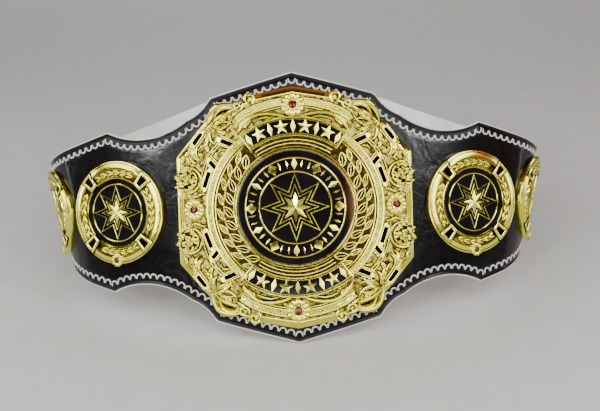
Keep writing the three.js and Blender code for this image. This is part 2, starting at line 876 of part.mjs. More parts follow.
// A compass star in a circle; the large one has a second circle and small lozenges outside it
function starWork(radius, s, low, high, marks, sides, line) {
  const inner = marks ? radius * 0.64 : radius * 0.86;
  const pieces = [washer(inner - line, inner, low, high, sides)];
  if (marks) {
    pieces.push(washer(radius * 0.88 - line, radius * 0.88, low, high, sides));
  }
  for (let i = 0; i < marks; i += 1) {
    const half = radius * 0.12;
    const wide = half * (i % 2 ? 0.35 : 0.8);
    const lozenge = [[0, -half], [wide, 0], [0, half], [-wide, 0]];
    pieces.push(prism(placed(lozenge, radius * 0.75, (i * 360) / marks, 1), low, high));
  }
  const star = starPoints(8, inner - line / 2, inner * 0.47);
  const hollow = star.map(([x, y]) => [x * 0.66, y * 0.66]);
  pieces.push(prism(star, low, high).subtract(prism(hollow, low - 1, high + 1)));
  return moved(joined(pieces), s);
}

function moved(solid, s) {
  const mesh = solid.getMesh();
  const positions = Array.from(mesh.vertProperties).map((value, i) => (i % 3 ? value : value + s));
  return closedSolid(positions, Array.from(mesh.triVerts));
}

// A round plate: stout rim, leafy bed, four bracket frames, inner rim and a floor for the disc
function makeRoundPlate({ name, s, radius }, side) {
  const k = radius / 53.5;
  let plate = turned([
    [0, GAP], [radius, GAP], [radius, 5.6], [radius - 1.2, 6.6], [48.6 * k, 6.6],
    [48.2 * k, 4.6], [37.8 * k, 4.6], [37.6 * k, 6.2], [35.6 * k, 6.2], [35.6 * k, 3.6], [0, 3.6],
  ], 28);
  const pieces = [];
  for (let i = 0; i < 4; i += 1) {
    const middle = 45 + i * 90;
    const frame = [
      ...arc(0, 0, 52.2 * k, middle - 12, middle + 12, 2),
      ...arc(0, 0, 36.8 * k, middle + 9, middle - 9, 1),
    ];
    const block = prism(frame, 2, 7.6);
    pieces.push(block.subtract(prism(inset(frame, 1.7), 5.6, 9)));
    pieces.push(...wreath(43.2 * k, 2.6 * k, middle + 16, middle + 68, 2, 12 * k, 4, 6.6));
  }
  const low = radius - 4.5 * k;
  pieces.push(turned([[0, 2], [6.4 * k, 2], [6.4 * k, 7], [4.8 * k, 9], [0, 9]], 10, 0, -low));
  plate = plate.add(joined(pieces));
  const seat = 3.4 * k + GAP;
  plate = plate.subtract(turned([[0, 5.4], [seat, 5.4], [seat, 12], [0, 12]], 8, 0, -low));
  plate = moved(plate, side * s);
  return plate.subtract(postHoles((post) => post.name.startsWith(name) && post.s * side > 0));
}

// Finishing: roll every piece, lean the belt back until it stands, and centre it
const parts = [];

function keep(name, colour, roughness, metalness, solid) {
  const mesh = solid.getMesh();
  const corner = (i) => Array.from(mesh.vertProperties.slice(i * 3, i * 3 + 3));
  const triangles = [];
  for (let i = 0; i < mesh.triVerts.length; i += 3) {
    triangles.push([0, 1, 2].map((j) => corner(mesh.triVerts[i + j])));
  }
  const geometry = new THREE.BufferGeometry();
  const flat = refill(cutAtFolds(triangles));
  const positions = flat.flat().flatMap((p) => rollPoint(...p).toArray());
  geometry.setAttribute("position", new THREE.Float32BufferAttribute(positions, 3));
  const rolled = toSolid(geometry).getMesh();
  parts.push({
    name,
    colour,
    roughness,
    metalness,
    positions: Array.from(rolled.vertProperties),
    index: Array.from(rolled.triVerts),
  });
}

const GOLD = [0xd9b64a, 0.25, 1];
const ENAMEL = [0x0d0b0e, 0.2, 0];
const RED = [0x7a1010, 0.1, 0];

keep("strap", 0x121112, 0.45, 0, makeStrap());
keep("lining", 0xc4c1bc, 0.9, 0, makeLining());
keep("main_plate", ...GOLD, makeMainPlate());
const floor = GAP + PLATE_THICK;
keep("centre_disc", ...ENAMEL, turned([
  [0, floor + GAP], [DISC_RADIUS, floor + GAP], [DISC_RADIUS, floor + 1.5], [0, floor + 1.5],
], 40));
keep("centre_star", ...GOLD, starWork(
  DISC_RADIUS, 0, floor + 1.5 + GAP, floor + 2.7 + GAP, 12, 28, 1,
));
for (const banner of BANNERS) {
  const slab = arcBlock(banner, BANNER_BORDER + GAP, BANNER_FLOOR + GAP, BANNER_FLOOR + GAP + 0.6);
  keep(banner.name, ...ENAMEL, slab);
  keep(`${banner.name}_row`, ...GOLD, makeBannerRow(banner));
}
for (const each of STONES) {
  keep(each.name, ...RED, stone(each, 5));
}
for (const each of ROUND_PLATES) {
  for (const side of [-1, 1]) {
    const end = side < 0 ? "left" : "right";
    const k = each.radius / 53.5;
    const disc = 35.2 * k;
    keep(`${each.name}_plate_${end}`, ...GOLD, makeRoundPlate(each, side));
    keep(`${each.name}_disc_${end}`, ...ENAMEL, turned([
      [0, 3.6 + GAP], [disc, 3.6 + GAP], [disc, 4.6], [0, 4.6],
    ], 32, side * each.s));
    keep(`${each.name}_star_${end}`, ...GOLD, starWork(
      disc, side * each.s, 4.6 + GAP, 5.6 + GAP, 0, 24, 0.9,
    ));
    const place = { s: side * each.s, t: -(each.radius - 4.5 * k) };
    keep(`${each.name}_gem_${end}`, ...RED, stone(place, 5.4, 3.4 * k));
  }
}
for (const post of POSTS) {
  keep(post.name, 0x9a8b5a, 0.4, 1, makePost(post));
}
for (const snap of SNAPS) {
  keep(snap.name, 0x6e6b62, 0.35, 1, makeSnap(snap));
}

// Height of a point once the belt leans back by an angle
function heightAt(positions, i, lean) {
  return positions[i + 2] * Math.cos(lean) - positions[i + 1] * Math.sin(lean);
}

// The lean at which the front peak and the ends of both tails stand on the same floor
function findLean(positions) {
  const lowest = (lean, wanted) => {
    let low = Infinity;
    for (let i = 0; i < positions.length; i += 3) {
      if (wanted(positions[i + 1])) {
        low = Math.min(low, heightAt(positions, i, lean));
      }
    }
    return low;
  };
  let small = 0;
  let large = 0.8;
  for (let i = 0; i < 40; i += 1) {
    const lean = (small + large) / 2;
    if (lowest(lean, (y) => y < 200) < lowest(lean, (y) => y > 300)) {
      small = lean;
    } else {
      large = lean;
    }
  }
  return (small + large) / 2;
}

const lean = findLean(parts[0].positions);
const group = new THREE.Group();
group.name = "championship_belt";
const standing = new THREE.Matrix4().makeRotationX(-lean);
const box = new THREE.Box3();
for (const { name, colour, roughness, metalness, positions, index } of parts) {
  const geometry = new THREE.BufferGeometry();
  geometry.setIndex(index);
  geometry.setAttribute("position", new THREE.Float32BufferAttribute(positions, 3));
  geometry.applyMatrix4(standing);
  geometry.computeBoundingBox();
  box.union(geometry.boundingBox);
  const material = new THREE.MeshStandardMaterial({ color: colour, roughness, metalness });
  const mesh = new THREE.Mesh(geometry, material);
  mesh.name = name;
  group.add(mesh);
}
const middle = box.getCenter(new THREE.Vector3());
for (const mesh of group.children) {
  mesh.geometry.translate(-middle.x, -middle.y, -box.min.z);
  mesh.geometry.computeVertexNormals();
}

export default group;
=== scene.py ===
# %% [markdown]
# # A championship belt, dressed over its CAD frame
# The belt is a shaped black leather strap with one large gilded plate and four round ones.
# The CAD file gives every piece its place and size, with flat folds where the leather bends.
# Here each piece is modelled again, finer and smooth, and given the finish of the real one.
# We start by loading the CAD nodes.

# %% Load the frame
import json
import math

import bpy
import numpy as np
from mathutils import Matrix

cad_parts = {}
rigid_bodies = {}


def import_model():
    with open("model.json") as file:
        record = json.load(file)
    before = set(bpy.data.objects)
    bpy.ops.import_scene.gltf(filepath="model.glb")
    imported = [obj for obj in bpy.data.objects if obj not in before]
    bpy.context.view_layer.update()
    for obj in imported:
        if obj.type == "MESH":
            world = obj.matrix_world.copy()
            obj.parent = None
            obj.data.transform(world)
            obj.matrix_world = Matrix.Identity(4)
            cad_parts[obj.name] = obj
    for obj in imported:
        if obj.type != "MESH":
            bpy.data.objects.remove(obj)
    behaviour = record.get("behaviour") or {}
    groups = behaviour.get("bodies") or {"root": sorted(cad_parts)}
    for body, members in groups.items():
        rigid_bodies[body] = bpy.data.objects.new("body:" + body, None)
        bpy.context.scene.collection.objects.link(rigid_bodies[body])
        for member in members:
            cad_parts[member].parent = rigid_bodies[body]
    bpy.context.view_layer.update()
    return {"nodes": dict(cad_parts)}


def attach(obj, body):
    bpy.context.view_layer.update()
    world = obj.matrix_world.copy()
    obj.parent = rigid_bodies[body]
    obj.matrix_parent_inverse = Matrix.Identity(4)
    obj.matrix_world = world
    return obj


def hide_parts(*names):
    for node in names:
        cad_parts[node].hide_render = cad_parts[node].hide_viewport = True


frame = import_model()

print("CAD nodes:", len(frame["nodes"]))

# %% [markdown]
# ## From the bench to the standing belt
# A belt maker cuts the strap flat, screws the plates on and only then bends it round a waist.
# We do the same: every piece is drawn flat, with x along the strap, y up it and z outward.
# At the end its points are rolled onto a cone, which is what a strap that flares outward
# follows. A Curve modifier could bend it too, but it can't follow a cone, so we use a table of
# the strap's own upright lines: how each one leans and which way is outward from it.

# %% The roll
MM = 0.001
# The point of the cone, this many millimetres below the middle of the plate
APEX = 1180.0
STRAP_REACH = 760
# Up to each place along the strap, the radius that it is bent to
BENDS = [(120, 420), (243, 480), (249.5, 24), (343.5, 95), (500, 700), (STRAP_REACH, 420)]
# How far the belt leans back on its peak and its tails, and where that puts the plate
LEAN = math.radians(23.042368)
STAND_Y, STAND_Z = -218.92608, 126.34933


def turn_about(vector, axis, angle):
    """Turn a vector about an axis that is square to it"""
    return vector * math.cos(angle) + np.cross(axis, vector) * math.sin(angle)


def upright_lines(step=0.25):
    """Angle, direction and outward direction of the strap's upright lines, in small steps"""
    along = np.arange(0, STRAP_REACH, step)
    angles = np.arctan2(along, APEX)
    up, side, out = np.eye(3)[2], np.eye(3)[0], -np.eye(3)[1]
    ups, outs = [], []
    for i, s in enumerate(along):
        ups.append(up)
        outs.append(out)
        swing = math.atan2(s + step, APEX) - angles[i]
        up, side = (up * math.cos(swing) + side * math.sin(swing),
                    side * math.cos(swing) - up * math.sin(swing))
        radius = next(r for end, r in BENDS if s < end)
        side = turn_about(side, up, step / radius)
        out = turn_about(out, up, step / radius)
    return angles, np.array(ups), np.array(outs)


ANGLES, UPS, OUTS = upright_lines()


def rolled(points):
    """Flat points, in metres, as they stand on the floor"""
    s, t, n = (np.asarray(points, float).reshape(-1, 3) / MM).T
    angle = np.arctan2(np.abs(s), APEX + t)
    up = np.stack([np.interp(angle, ANGLES, UPS[:, k]) for k in range(3)], 1)
    out = np.stack([np.interp(angle, ANGLES, OUTS[:, k]) for k in range(3)], 1)
    p = up * np.hypot(s, APEX + t)[:, None] + out * n[:, None]
    x = np.where(s < 0, -p[:, 0], p[:, 0])
    y, z = p[:, 1], p[:, 2] - APEX
    return np.stack([x, y * math.cos(LEAN) + z * math.sin(LEAN) + STAND_Y,
                     z * math.cos(LEAN) - y * math.sin(LEAN) + STAND_Z], 1) * MM


print("plate centre stands at", rolled([[0, 0, 0]])[0].round(4))

# %% [markdown]
# ## A few hand tools
# Operators work on whatever is selected, so each tool first lets go of everything else.
# Before a flat face is rolled it is cut along the upright lines, as a cooper bends planks: each
# narrow strip then stays flat and the whole looks round. What repeats in a circle is modelled
# once and set round by a spin with duplicates. With no window, a spin turns clockwise seen
# from above, so a turn the usual way has a negative angle.

# %% Tools for objects


def only(obj):
    """Select one object alone and make it the active one"""
    if bpy.context.object and bpy.context.object.mode != "OBJECT":
        bpy.ops.object.mode_set(mode="OBJECT")
    bpy.ops.object.select_all(action="DESELECT")
    obj.select_set(True)
    bpy.context.view_layer.objects.active = obj


def drop_all():
    """Let go of everything before something new is added"""
    bpy.ops.object.select_all(action="DESELECT")


def named(name):
    """Name the active object and its mesh"""
    obj = bpy.context.object
    obj.name = name
    obj.data.name = name
    return obj


def place(obj):
    """Put the object's place, turn and scale into its mesh"""
    only(obj)
    bpy.ops.object.transform_apply(location=True, rotation=True, scale=True)
    return obj


def copied(obj, name):
    """A copy with a mesh of its own"""
    twin = obj.copy()
    twin.data = obj.data.copy()
    twin.name = name
    bpy.context.collection.objects.link(twin)
    return twin


def joined(name, objects):
    """Join the objects into the first one"""
    only(objects[0])
    for obj in objects[1:]:
        obj.select_set(True)
    bpy.ops.object.join()
    return named(name)


def mirrored(obj, axes):
    """Apply a Mirror modifier across the named axes"""
    only(obj)
    bpy.ops.object.modifier_add(type="MIRROR")
    mirror = obj.modifiers[-1]
    mirror.use_axis = [axis in axes for axis in "XYZ"]
    mirror.use_mirror_merge = False
    bpy.ops.object.modifier_apply(modifier=mirror.name)
    return obj


# %% Tools for meshes


def edit(obj, kind="FACE"):
    """Open a mesh in edit mode, with all of it selected"""
    only(obj)
    bpy.ops.object.mode_set(mode="EDIT")
    bpy.ops.mesh.select_mode(type=kind)
    bpy.ops.mesh.select_all(action="SELECT")


def done():
    """Close edit mode"""
    bpy.ops.object.mode_set(mode="OBJECT")


def merge(threshold=1e-6):
    """Merge points that meet, so that the mesh has no hidden seams"""
    bpy.ops.mesh.select_all(action="SELECT")
    bpy.ops.mesh.remove_doubles(threshold=threshold)


def face_outward():
    """Turn every face of a closed mesh outward"""
    bpy.ops.mesh.select_all(action="SELECT")
    bpy.ops.mesh.normals_make_consistent(inside=False)


def copies_round(obj, steps, angle, centre=(0, 0)):
    """Set duplicates round an upright axis; after a full turn the last lies on the first"""
    edit(obj)
    bpy.ops.mesh.spin(steps=steps, dupli=True, angle=angle, axis=(0, 0, 1),
                      center=(centre[0] * MM, centre[1] * MM, 0))
    merge()
    done()


def coordinates(obj):
    """The points of a mesh as one table, in metres"""
    flat = np.empty(len(obj.data.vertices) * 3)
    obj.data.vertices.foreach_get("co", flat)
    return flat.reshape(-1, 3)


def set_coordinates(obj, points):
    obj.data.vertices.foreach_set("co", np.asarray(points, float).ravel())
    obj.data.update()


def cut_strips(obj, step):
    """Cut along the strap's upright lines, a few millimetres apart"""
    s = coordinates(obj)[:, 0] / MM
    lines = np.arange(math.ceil(s.min() / step) * step, s.max(), step)
    edit(obj)
    for line in lines:
        angle = math.atan2(line, APEX)
        bpy.ops.mesh.select_all(action="SELECT")
        bpy.ops.mesh.bisect(plane_co=(0, -APEX * MM, 0),
                            plane_no=(math.cos(angle), -math.sin(angle), 0))
    done()


def note(obj, name, values):
    """Keep one number per point, or the same for all, for the material to read"""
    attribute = obj.data.attributes.new(name, "FLOAT", "POINT")
    values = np.broadcast_to(np.asarray(values, np.float32), len(obj.data.vertices))
    attribute.data.foreach_set("value", np.ascontiguousarray(values))
    return obj


# %% From flat piece to finished piece


def finish_piece(obj, material, slot, stands_for, crease=35):
    """Roll a flat piece up, shade it and hand it to the frame in place of CAD nodes"""
    set_coordinates(obj, rolled(coordinates(obj)))
    only(obj)
    bpy.ops.object.shade_smooth_by_angle(angle=math.radians(crease))
    obj.data.materials.clear()
    obj.data.materials.append(material)
    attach(obj, "root")
    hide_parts(*stands_for)
    print(obj.name, len(obj.data.polygons), "faces")


# %% [markdown]
# ## Colours and one way to add a node
# Colours are written as on a paint card, in sRGB, and turned to the linear values that
# shaders want. Every node is added by one small function with its settings and links.

# %% Node helpers


def linear(code):
    """An sRGB colour code as linear red, green, blue and a full alpha"""
    values = [int(code[i:i + 2], 16) / 255 for i in (1, 3, 5)]
    return [v / 12.92 if v < 0.04045 else ((v + 0.055) / 1.055) ** 2.4 for v in values] + [1]


def add(tree, kind, inputs=None, **settings):
    """Add a node; an input that is a socket is linked, any other is set"""
    made = tree.nodes.new(kind)
    for key, value in settings.items():
        setattr(made, key, value)
    for key, value in (inputs or {}).items():
        if isinstance(value, bpy.types.NodeSocket):
            tree.links.new(value, made.inputs[key])
        else:
            made.inputs[key].default_value = value
    return made


def new_material(name):
    """A material, its node tree, its shader, and the place on the object in metres"""
    material = bpy.data.materials.new(name)
    material.use_nodes = True
    tree = material.node_tree
    place_on = add(tree, "ShaderNodeTexCoord").outputs["Object"]
    return material, tree, tree.nodes["Principled BSDF"], place_on


def ramp(node, stops):
    """Set the colours of a Color Ramp, from a list of place and colour code"""
    elements = node.color_ramp.elements
    while len(elements) < len(stops):
        elements.new(0.5)
    for element, (place_at, code) in zip(elements, stops):
        element.position = place_at
        element.color = linear(code)


def mottled(name, patch, detail, dark, light):
    """The start of a plain material: patches of so many millimetres drift between two tones"""
    material, tree, shader, place_on = new_material(name)
    drift = add(tree, "ShaderNodeTexNoise", {"Vector": place_on, "Scale": 1000 / patch,
                                             "Detail": detail}).outputs["Fac"]
    tone = add(tree, "ShaderNodeValToRGB", {"Fac": drift})
    ramp(tone, [(0.3, dark), (0.7, light)])
    tree.links.new(tone.outputs["Color"], shader.inputs["Base Color"])
    return material, tree, shader, drift


print("pure white as linear values:", linear("#ffffff"))

# %% [markdown]
# ## Leather
# The strap is full-grain cowhide, dyed black, pressed and lightly waxed. It has pebbles of
# about 1 mm, soft creases where it was bent, and a satin shine that breaks up over both.
# The cut edge and the shells' rims are painted pale, a painted highlight where they catch the
# light, and the tooled line keeps the black dye; the material reads the tone that the mesh keeps
# by the distance to the edge. A pattern's Scale counts its cells in a metre, so it is always
# 1000 divided by the size of one pebble or crease in millimetres.

# %% Leather material
leather, tree, shader, place_on = new_material("dyed_cowhide_satin")
pebbles = add(tree, "ShaderNodeTexVoronoi", {"Vector": place_on, "Scale": 1000 / 1.0,
                                             "Randomness": 1.0}, feature="SMOOTH_F1")
creases = add(tree, "ShaderNodeTexNoise", {"Vector": place_on, "Scale": 1000 / 45, "Detail": 3.0,
                                           "Roughness": 0.55, "Distortion": 0.9})
rubbing = add(tree, "ShaderNodeTexNoise", {"Vector": place_on, "Scale": 1000 / 2.2, "Detail": 4.0})
tone = add(tree, "ShaderNodeValToRGB", {"Fac": creases.outputs["Fac"]})
ramp(tone, [(0.35, "#050505"), (0.7, "#0e0d0e")])
# The pale tone is a painted highlight on the cut edge and on the shells' rims
edge = add(tree, "ShaderNodeAttribute", attribute_name="painted_highlight_tone")
highlighted = add(tree, "ShaderNodeMix", {0: edge.outputs["Fac"], 6: tone.outputs["Color"],
                                     7: linear("#e6e4df")}, data_type="RGBA")
tree.links.new(highlighted.outputs[2], shader.inputs["Base Color"])
gloss = add(tree, "ShaderNodeMapRange", {"Value": rubbing.outputs["Fac"], "From Min": 0.3,
                                         "From Max": 0.7, "To Min": 0.16, "To Max": 0.27})
tree.links.new(gloss.outputs["Result"], shader.inputs["Roughness"])
grain = add(tree, "ShaderNodeBump", {"Height": pebbles.outputs["Distance"], "Strength": 0.3,
                                     "Distance": 0.00006})
folds = add(tree, "ShaderNodeBump", {"Height": creases.outputs["Fac"], "Strength": 0.4,
                                     "Distance": 0.003, "Normal": grain.outputs["Normal"]})
tree.links.new(folds.outputs["Normal"], shader.inputs["Normal"])
# Wax and dye leave little of the shine that a bare shader gives
shader.inputs["Specular IOR Level"].default_value = 0.2
print("leather nodes:", len(tree.nodes))

# %% [markdown]
# ## Lining
# The inside is faced with a light grey pigskin suede, cut a little short of the edge. Suede
# is a nap of fine fibres, so it scatters light evenly and shows a soft, cloudy grain.

# %% Lining material
suede, tree, shader, place_on = new_material("grey_pigskin_suede")
nap = add(tree, "ShaderNodeTexNoise", {"Vector": place_on, "Scale": 1000 / 1.6, "Detail": 6.0,
                                       "Roughness": 0.7})
cloud = add(tree, "ShaderNodeTexNoise", {"Vector": place_on, "Scale": 1000 / 40, "Detail": 3.0})
both = add(tree, "ShaderNodeMath", {0: nap.outputs["Fac"], 1: cloud.outputs["Fac"]},
           operation="ADD")
half = add(tree, "ShaderNodeMath", {0: both.outputs["Value"], 1: 0.5}, operation="MULTIPLY")
tone = add(tree, "ShaderNodeValToRGB", {"Fac": half.outputs["Value"]})
ramp(tone, [(0.38, "#dcd9d5"), (0.62, "#faf8f4")])
tree.links.new(tone.outputs["Color"], shader.inputs["Base Color"])
shader.inputs["Roughness"].default_value = 0.92
nap_bump = add(tree, "ShaderNodeBump", {"Height": nap.outputs["Fac"], "Strength": 0.5,
                                        "Distance": 0.0006})
tree.links.new(nap_bump.outputs["Normal"], shader.inputs["Normal"])
print("suede nodes:", len(tree.nodes))

# %% [markdown]
# ## The strap
# One length of leather, 2.4 mm thick, with a peak over the plate and two hollow steps each
# side. A grid is the right start: its columns follow the upright lines of the belt, and its
# rows run round the whole section, front and back, so the edge can be rounded and the tooled
# line pressed in as real geometry. Rows near the edge keep their distance from it, which is
# found as a wheel of that radius would roll inside the outline. Front and back have many rows,
# because the sharp bends run across them at a slant.

# %% The strap's outline
# The upper edge, from the middle to the end of a tail; an arc also names a place on its way
STRAP_EDGE = [
    ((0, 136), None), ((84, 113), None), ((109.5, 91.6), (97, 98.2)),
    ((200, 84), (153, 75.5)), ((300, 57), None), ((345, 53), None),
    ((706, 50), None), ((720, 36), (715.9, 45.9)),
]
STRAP_END = STRAP_EDGE[-1][0][0]
LEATHER = 2.4


def through_points(a, b, c, steps):
    """Points of the circle through three points, without the first"""
    (ax, ay), (bx, by), (cx, cy) = a, b, c
    d = 2 * (ax * (by - cy) + bx * (cy - ay) + cx * (ay - by))
    aa, bb, cc = ax * ax + ay * ay, bx * bx + by * by, cx * cx + cy * cy
    x = (aa * (by - cy) + bb * (cy - ay) + cc * (ay - by)) / d
    y = (aa * (cx - bx) + bb * (ax - cx) + cc * (bx - ax)) / d
    radius = math.hypot(ax - x, ay - y)
    start = math.atan2(ay - y, ax - x)
    sweep = math.atan2(cy - y, cx - x) - start
    sweep = (sweep + math.pi) % (2 * math.pi) - math.pi
    return [(x + radius * math.cos(start + sweep * i / steps),
             y + radius * math.sin(start + sweep * i / steps)) for i in range(1, steps + 1)]


ARC_STEPS = 40
outline = [STRAP_EDGE[0][0]]
for end, through in STRAP_EDGE[1:]:
    outline += through_points(outline[-1], through, end, ARC_STEPS) if through else [end]
outline = np.array(outline)
# A fine ruler along the strap, a little past its middle, and the height of the edge at each mark
RULER = np.arange(-40, STRAP_END + 0.01, 0.25)
EDGE_HEIGHT = np.interp(np.abs(RULER), outline[:, 0], outline[:, 1])


def edge_line(s, inside):
    """Height of the line that stays a given distance inside the upper edge"""
    s = np.abs(np.asarray(s, float))
    if inside <= 0:
        return np.interp(s, RULER, EDGE_HEIGHT)
    heights = np.full(s.shape, np.inf)
    for shift in np.linspace(-inside, inside, 81):
        reach = math.sqrt(max(inside ** 2 - shift ** 2, 0))
        heights = np.minimum(heights, np.interp(s + shift, RULER, EDGE_HEIGHT) - reach)
    return heights


print("edge at 0, 84, 200 mm:", edge_line([0, 84, 200], 0).round(1))

# %% Where the lines of the grid run
# Columns stand closer where the strap bends sharply and at the corners of the tails
stations = np.unique(np.concatenate([
    np.arange(0, 228, 3.0), np.arange(228, 266, 1.25), np.arange(266, 350, 2.5),
    np.arange(350, STRAP_END, 6.0), [84, 109.5, 200, 706, 709, 712, 715, 717.5, 719, STRAP_END],
]))
stations = np.concatenate([-stations[:0:-1], stations])
# Each row: distance inside the edge, height, and the painted highlight that makes the leather pale
# there
EDGE_ROWS = [
    (0, -2.1, 0.6), (0, -0.8, 0.8), (0.25, -0.3, 0.8), (0.9, 0, 0.7), (1.4, 0, 0.1), (2.2, 0, 0),
    (3.0, 0, 0), (3.4, -0.35, 0), (4.0, -0.6, 0), (4.6, -0.35, 0), (5.0, 0, 0), (14.5, 0, 0),
]
# The rows between, as shares of the way from the middle line to the edge
shares = np.linspace(1, -1, 26)
inner_line = edge_line(stations, EDGE_ROWS[-1][0])
# The back and the lining stay a little inside the edge
BACK_INSET = 0.4
back_line = edge_line(stations, BACK_INSET)
section = [(edge_line(stations, inside), n, pale) for inside, n, pale in EDGE_ROWS]
section += [(inner_line * share, 0, 0) for share in shares[1:-1]]
section += [(-edge_line(stations, inside), n, pale) for inside, n, pale in reversed(EDGE_ROWS)]
section += [(back_line * share, -LEATHER, 0) for share in -shares]
section.append(section[0])
print("columns and rows:", len(stations), len(section))

# %% The strap's grid


def sheet(name, rows):
    """A grid bent round a section; each row has its place up the strap and its height"""
    drop_all()
    bpy.ops.mesh.primitive_grid_add(x_subdivisions=len(stations) - 1,
                                    y_subdivisions=len(rows) - 1, size=1)
    obj = named(name)
    lines = [np.stack([stations, t, np.full(stations.shape, float(n))], 1) for t, n in rows]
    set_coordinates(obj, np.concatenate(lines) * MM)
    return obj


def close_sheet(obj):
    """Merge the seam of the section and fill its two ends"""
    edit(obj, "VERT")
    merge()
    bpy.ops.mesh.select_all(action="DESELECT")
    bpy.ops.mesh.select_non_manifold()
    bpy.ops.mesh.edge_face_add()
    face_outward()
    done()


strap = sheet("strap_leather", [(t, n) for t, n, _ in section])
note(strap, "painted_highlight_tone", np.repeat([pale for _, _, pale in section], len(stations)))
close_sheet(strap)
print("strap:", len(strap.data.polygons), "faces")

# %% [markdown]
# ## Tooling along the edge
# A saddler borders such a strap with one small stamp, struck again and again: a shell, open
# towards the edge, whose rim stands up and catches the light, and is also painted pale as a
# painted highlight. Each is a short swept line.
# Lines like this are drawn with a curve: every point says where it is and how wide the line is
# there, and one section is swept along all of them. The same tool draws the leaves and curls
# of the plates, because a cast ornament is also a set of strokes that swell and thin.

# %% Sections of a stroke
# Each lists (across, up), counted in half widths of the stroke
SECTIONS = {
    "ridge": [(-1, -1.2), (-1, -0.15), (-0.78, 0.25), (-0.4, 0.5), (0, 0.62), (0.4, 0.5),
              (0.78, 0.25), (1, -0.15), (1, -1.2)],
    "vein": [(-1, -1.2), (-1, -0.1), (-0.8, 0.25), (-0.45, 0.44), (-0.12, 0.36), (0, 0.1),
             (0.12, 0.36), (0.45, 0.44), (0.8, 0.25), (1, -0.1), (1, -1.2)],
    "round": [(-1, -1.2), (-1, 0), (-0.7, 0.52), (-0.25, 0.74), (0.25, 0.74), (0.7, 0.52),
              (1, 0), (1, -1.2)],
    "strap": [(-1, -0.5), (-1, 0), (-0.93, 0.08), (0.93, 0.08), (1, 0), (1, -0.5)],
    "foot": [(-1, -0.05), (-1, 0.0), (0, 0.03), (1, 0.0), (1, -0.05)],
}
print("sections:", ", ".join(SECTIONS))

# %% Sweep the strokes


def poly_curve(name, lines, flat=False, closed=False):
    """A curve object of straight runs; each line lists (x, y, z, half width) in millimetres"""
    drop_all()
    bpy.ops.curve.primitive_bezier_curve_add()
    curve = named(name)
    curve.data.splines.clear()
    curve.data.dimensions = "2D" if flat else "3D"
    for line in lines:
        spline = curve.data.splines.new("POLY")
        spline.points.add(len(line) - 1)
        for point, (x, y, z, width) in zip(spline.points, line):
            point.co = (x * MM, y * MM, z * MM, 1)
            point.radius = width * MM
        spline.use_cyclic_u = closed
    return curve


def strokes(name, lines, section="ridge", closed=False):
    """Sweep a section along every line and give the result as one mesh"""
    # The section's half width is drawn one metre long, and each point's radius scales it down
    shape = poly_curve("section", [[(x * 1000, y * 1000, 0, 1) for x, y in SECTIONS[section]]],
                       flat=True, closed=True)
    curve = poly_curve(name, lines, closed=closed)
    curve.data.twist_mode = "Z_UP"
    curve.data.bevel_mode = "OBJECT"
    curve.data.bevel_object = shape
    curve.data.use_fill_caps = True
    only(curve)
    bpy.ops.object.convert(target="MESH")
    obj = named(name)
    bpy.data.objects.remove(shape)
    edit(obj, "VERT")
    merge(2e-6)
    face_outward()
    done()
    return obj


# %% The stamp and its places
SHELL_PITCH = 8.3
# How far inside the edge the middle of a shell lies, and how pale its rim is painted, a painted
# highlight
SHELL_MIDDLE = 9.4
SHELL_HIGHLIGHT = 0.58
# The stamp round its own middle, y towards the edge: (x, y, height, half width)
rim_angles = [math.pi * (1 + step / 6) for step in range(7)]
SHELL = [(-3.6, 2.9, 0.05, 0.5)]
SHELL += [(3.3 * math.cos(a), 3.0 * math.sin(a) + 1.2, 0.05, 0.9) for a in rim_angles]
SHELL += [(3.6, 2.9, 0.05, 0.5)]
NOTCH = [(0, 2.6, 0, 0.2), (0, 1.2, 0.1, 0.75), (0, -0.2, 0, 0.2)]


def spaced(points, pitch, reach=1.5):
    """Places at an even distance along a line, each with its direction over a short reach"""
    steps = np.hypot(*np.diff(points, axis=0).T)
    length = np.concatenate([[0], np.cumsum(steps)])
    count = int(length[-1] // pitch)
    start = (length[-1] - (count - 1) * pitch) / 2
    at = start + pitch * np.arange(count)
    spots = np.stack([np.interp(at, length, points[:, k]) for k in (0, 1)], 1)
    ahead = np.stack([np.interp(at + reach, length, points[:, k]) for k in (0, 1)], 1)
    behind = np.stack([np.interp(at - reach, length, points[:, k]) for k in (0, 1)], 1)
    return list(zip(spots, np.arctan2(*(ahead - behind).T[::-1])))


def struck(stamp, spot, angle, flip):
    """The stamp set down along the edge; a flip of -1 sets it along the lower edge"""
    (x, y), c, s = spot, math.cos(angle), math.sin(angle)
    return [(x + u * c - v * s, flip * (y + u * s + v * c), n, width) for u, v, n, width in stamp]


# The border ends this far from the middle, where the tails begin to round off
BORDER_END = 700
run = np.arange(-BORDER_END, BORDER_END + 0.1, 1.0)
border = np.stack([run, edge_line(run, SHELL_MIDDLE)], 1)
spots = [(*spot, flip) for spot in spaced(border, SHELL_PITCH) for flip in (1, -1)]
print("shells:", len(spots))

# %% The border of shells
shells = strokes("shells", [struck(SHELL, *spot) for spot in spots], "round")
notches = strokes("notches", [struck(NOTCH, *spot) for spot in spots])
# The shells' rims are painted pale, a painted highlight; the notches stay black
note(shells, "painted_highlight_tone", SHELL_HIGHLIGHT)
note(notches, "painted_highlight_tone", 0)
strap = joined("strap_leather", [strap, shells, notches])
finish_piece(strap, leather, "leather", ["strap"], crease=50)

# %% [markdown]
# ## The lining, and the light strips
# The lining is a second, thinner grid behind the leather. In the photo it shows as two light
# strips above the hollow steps: that is the inside of the tails, seen behind the strap.

# %% Lining
LINING_FRONT, LINING_BACK = -2.75, -3.7
lining_rows = [(back_line, LINING_BACK)]
lining_rows += [(back_line * share, LINING_FRONT) for share in shares]
lining_rows += [(back_line * share, LINING_BACK) for share in -shares]
lining = sheet("strap_lining", lining_rows)
# The lining also ends a hair short of the strap's two ends
set_coordinates(lining, coordinates(lining) * (0.9994, 1, 1))
close_sheet(lining)
finish_piece(lining, suede, "lining", ["lining"])
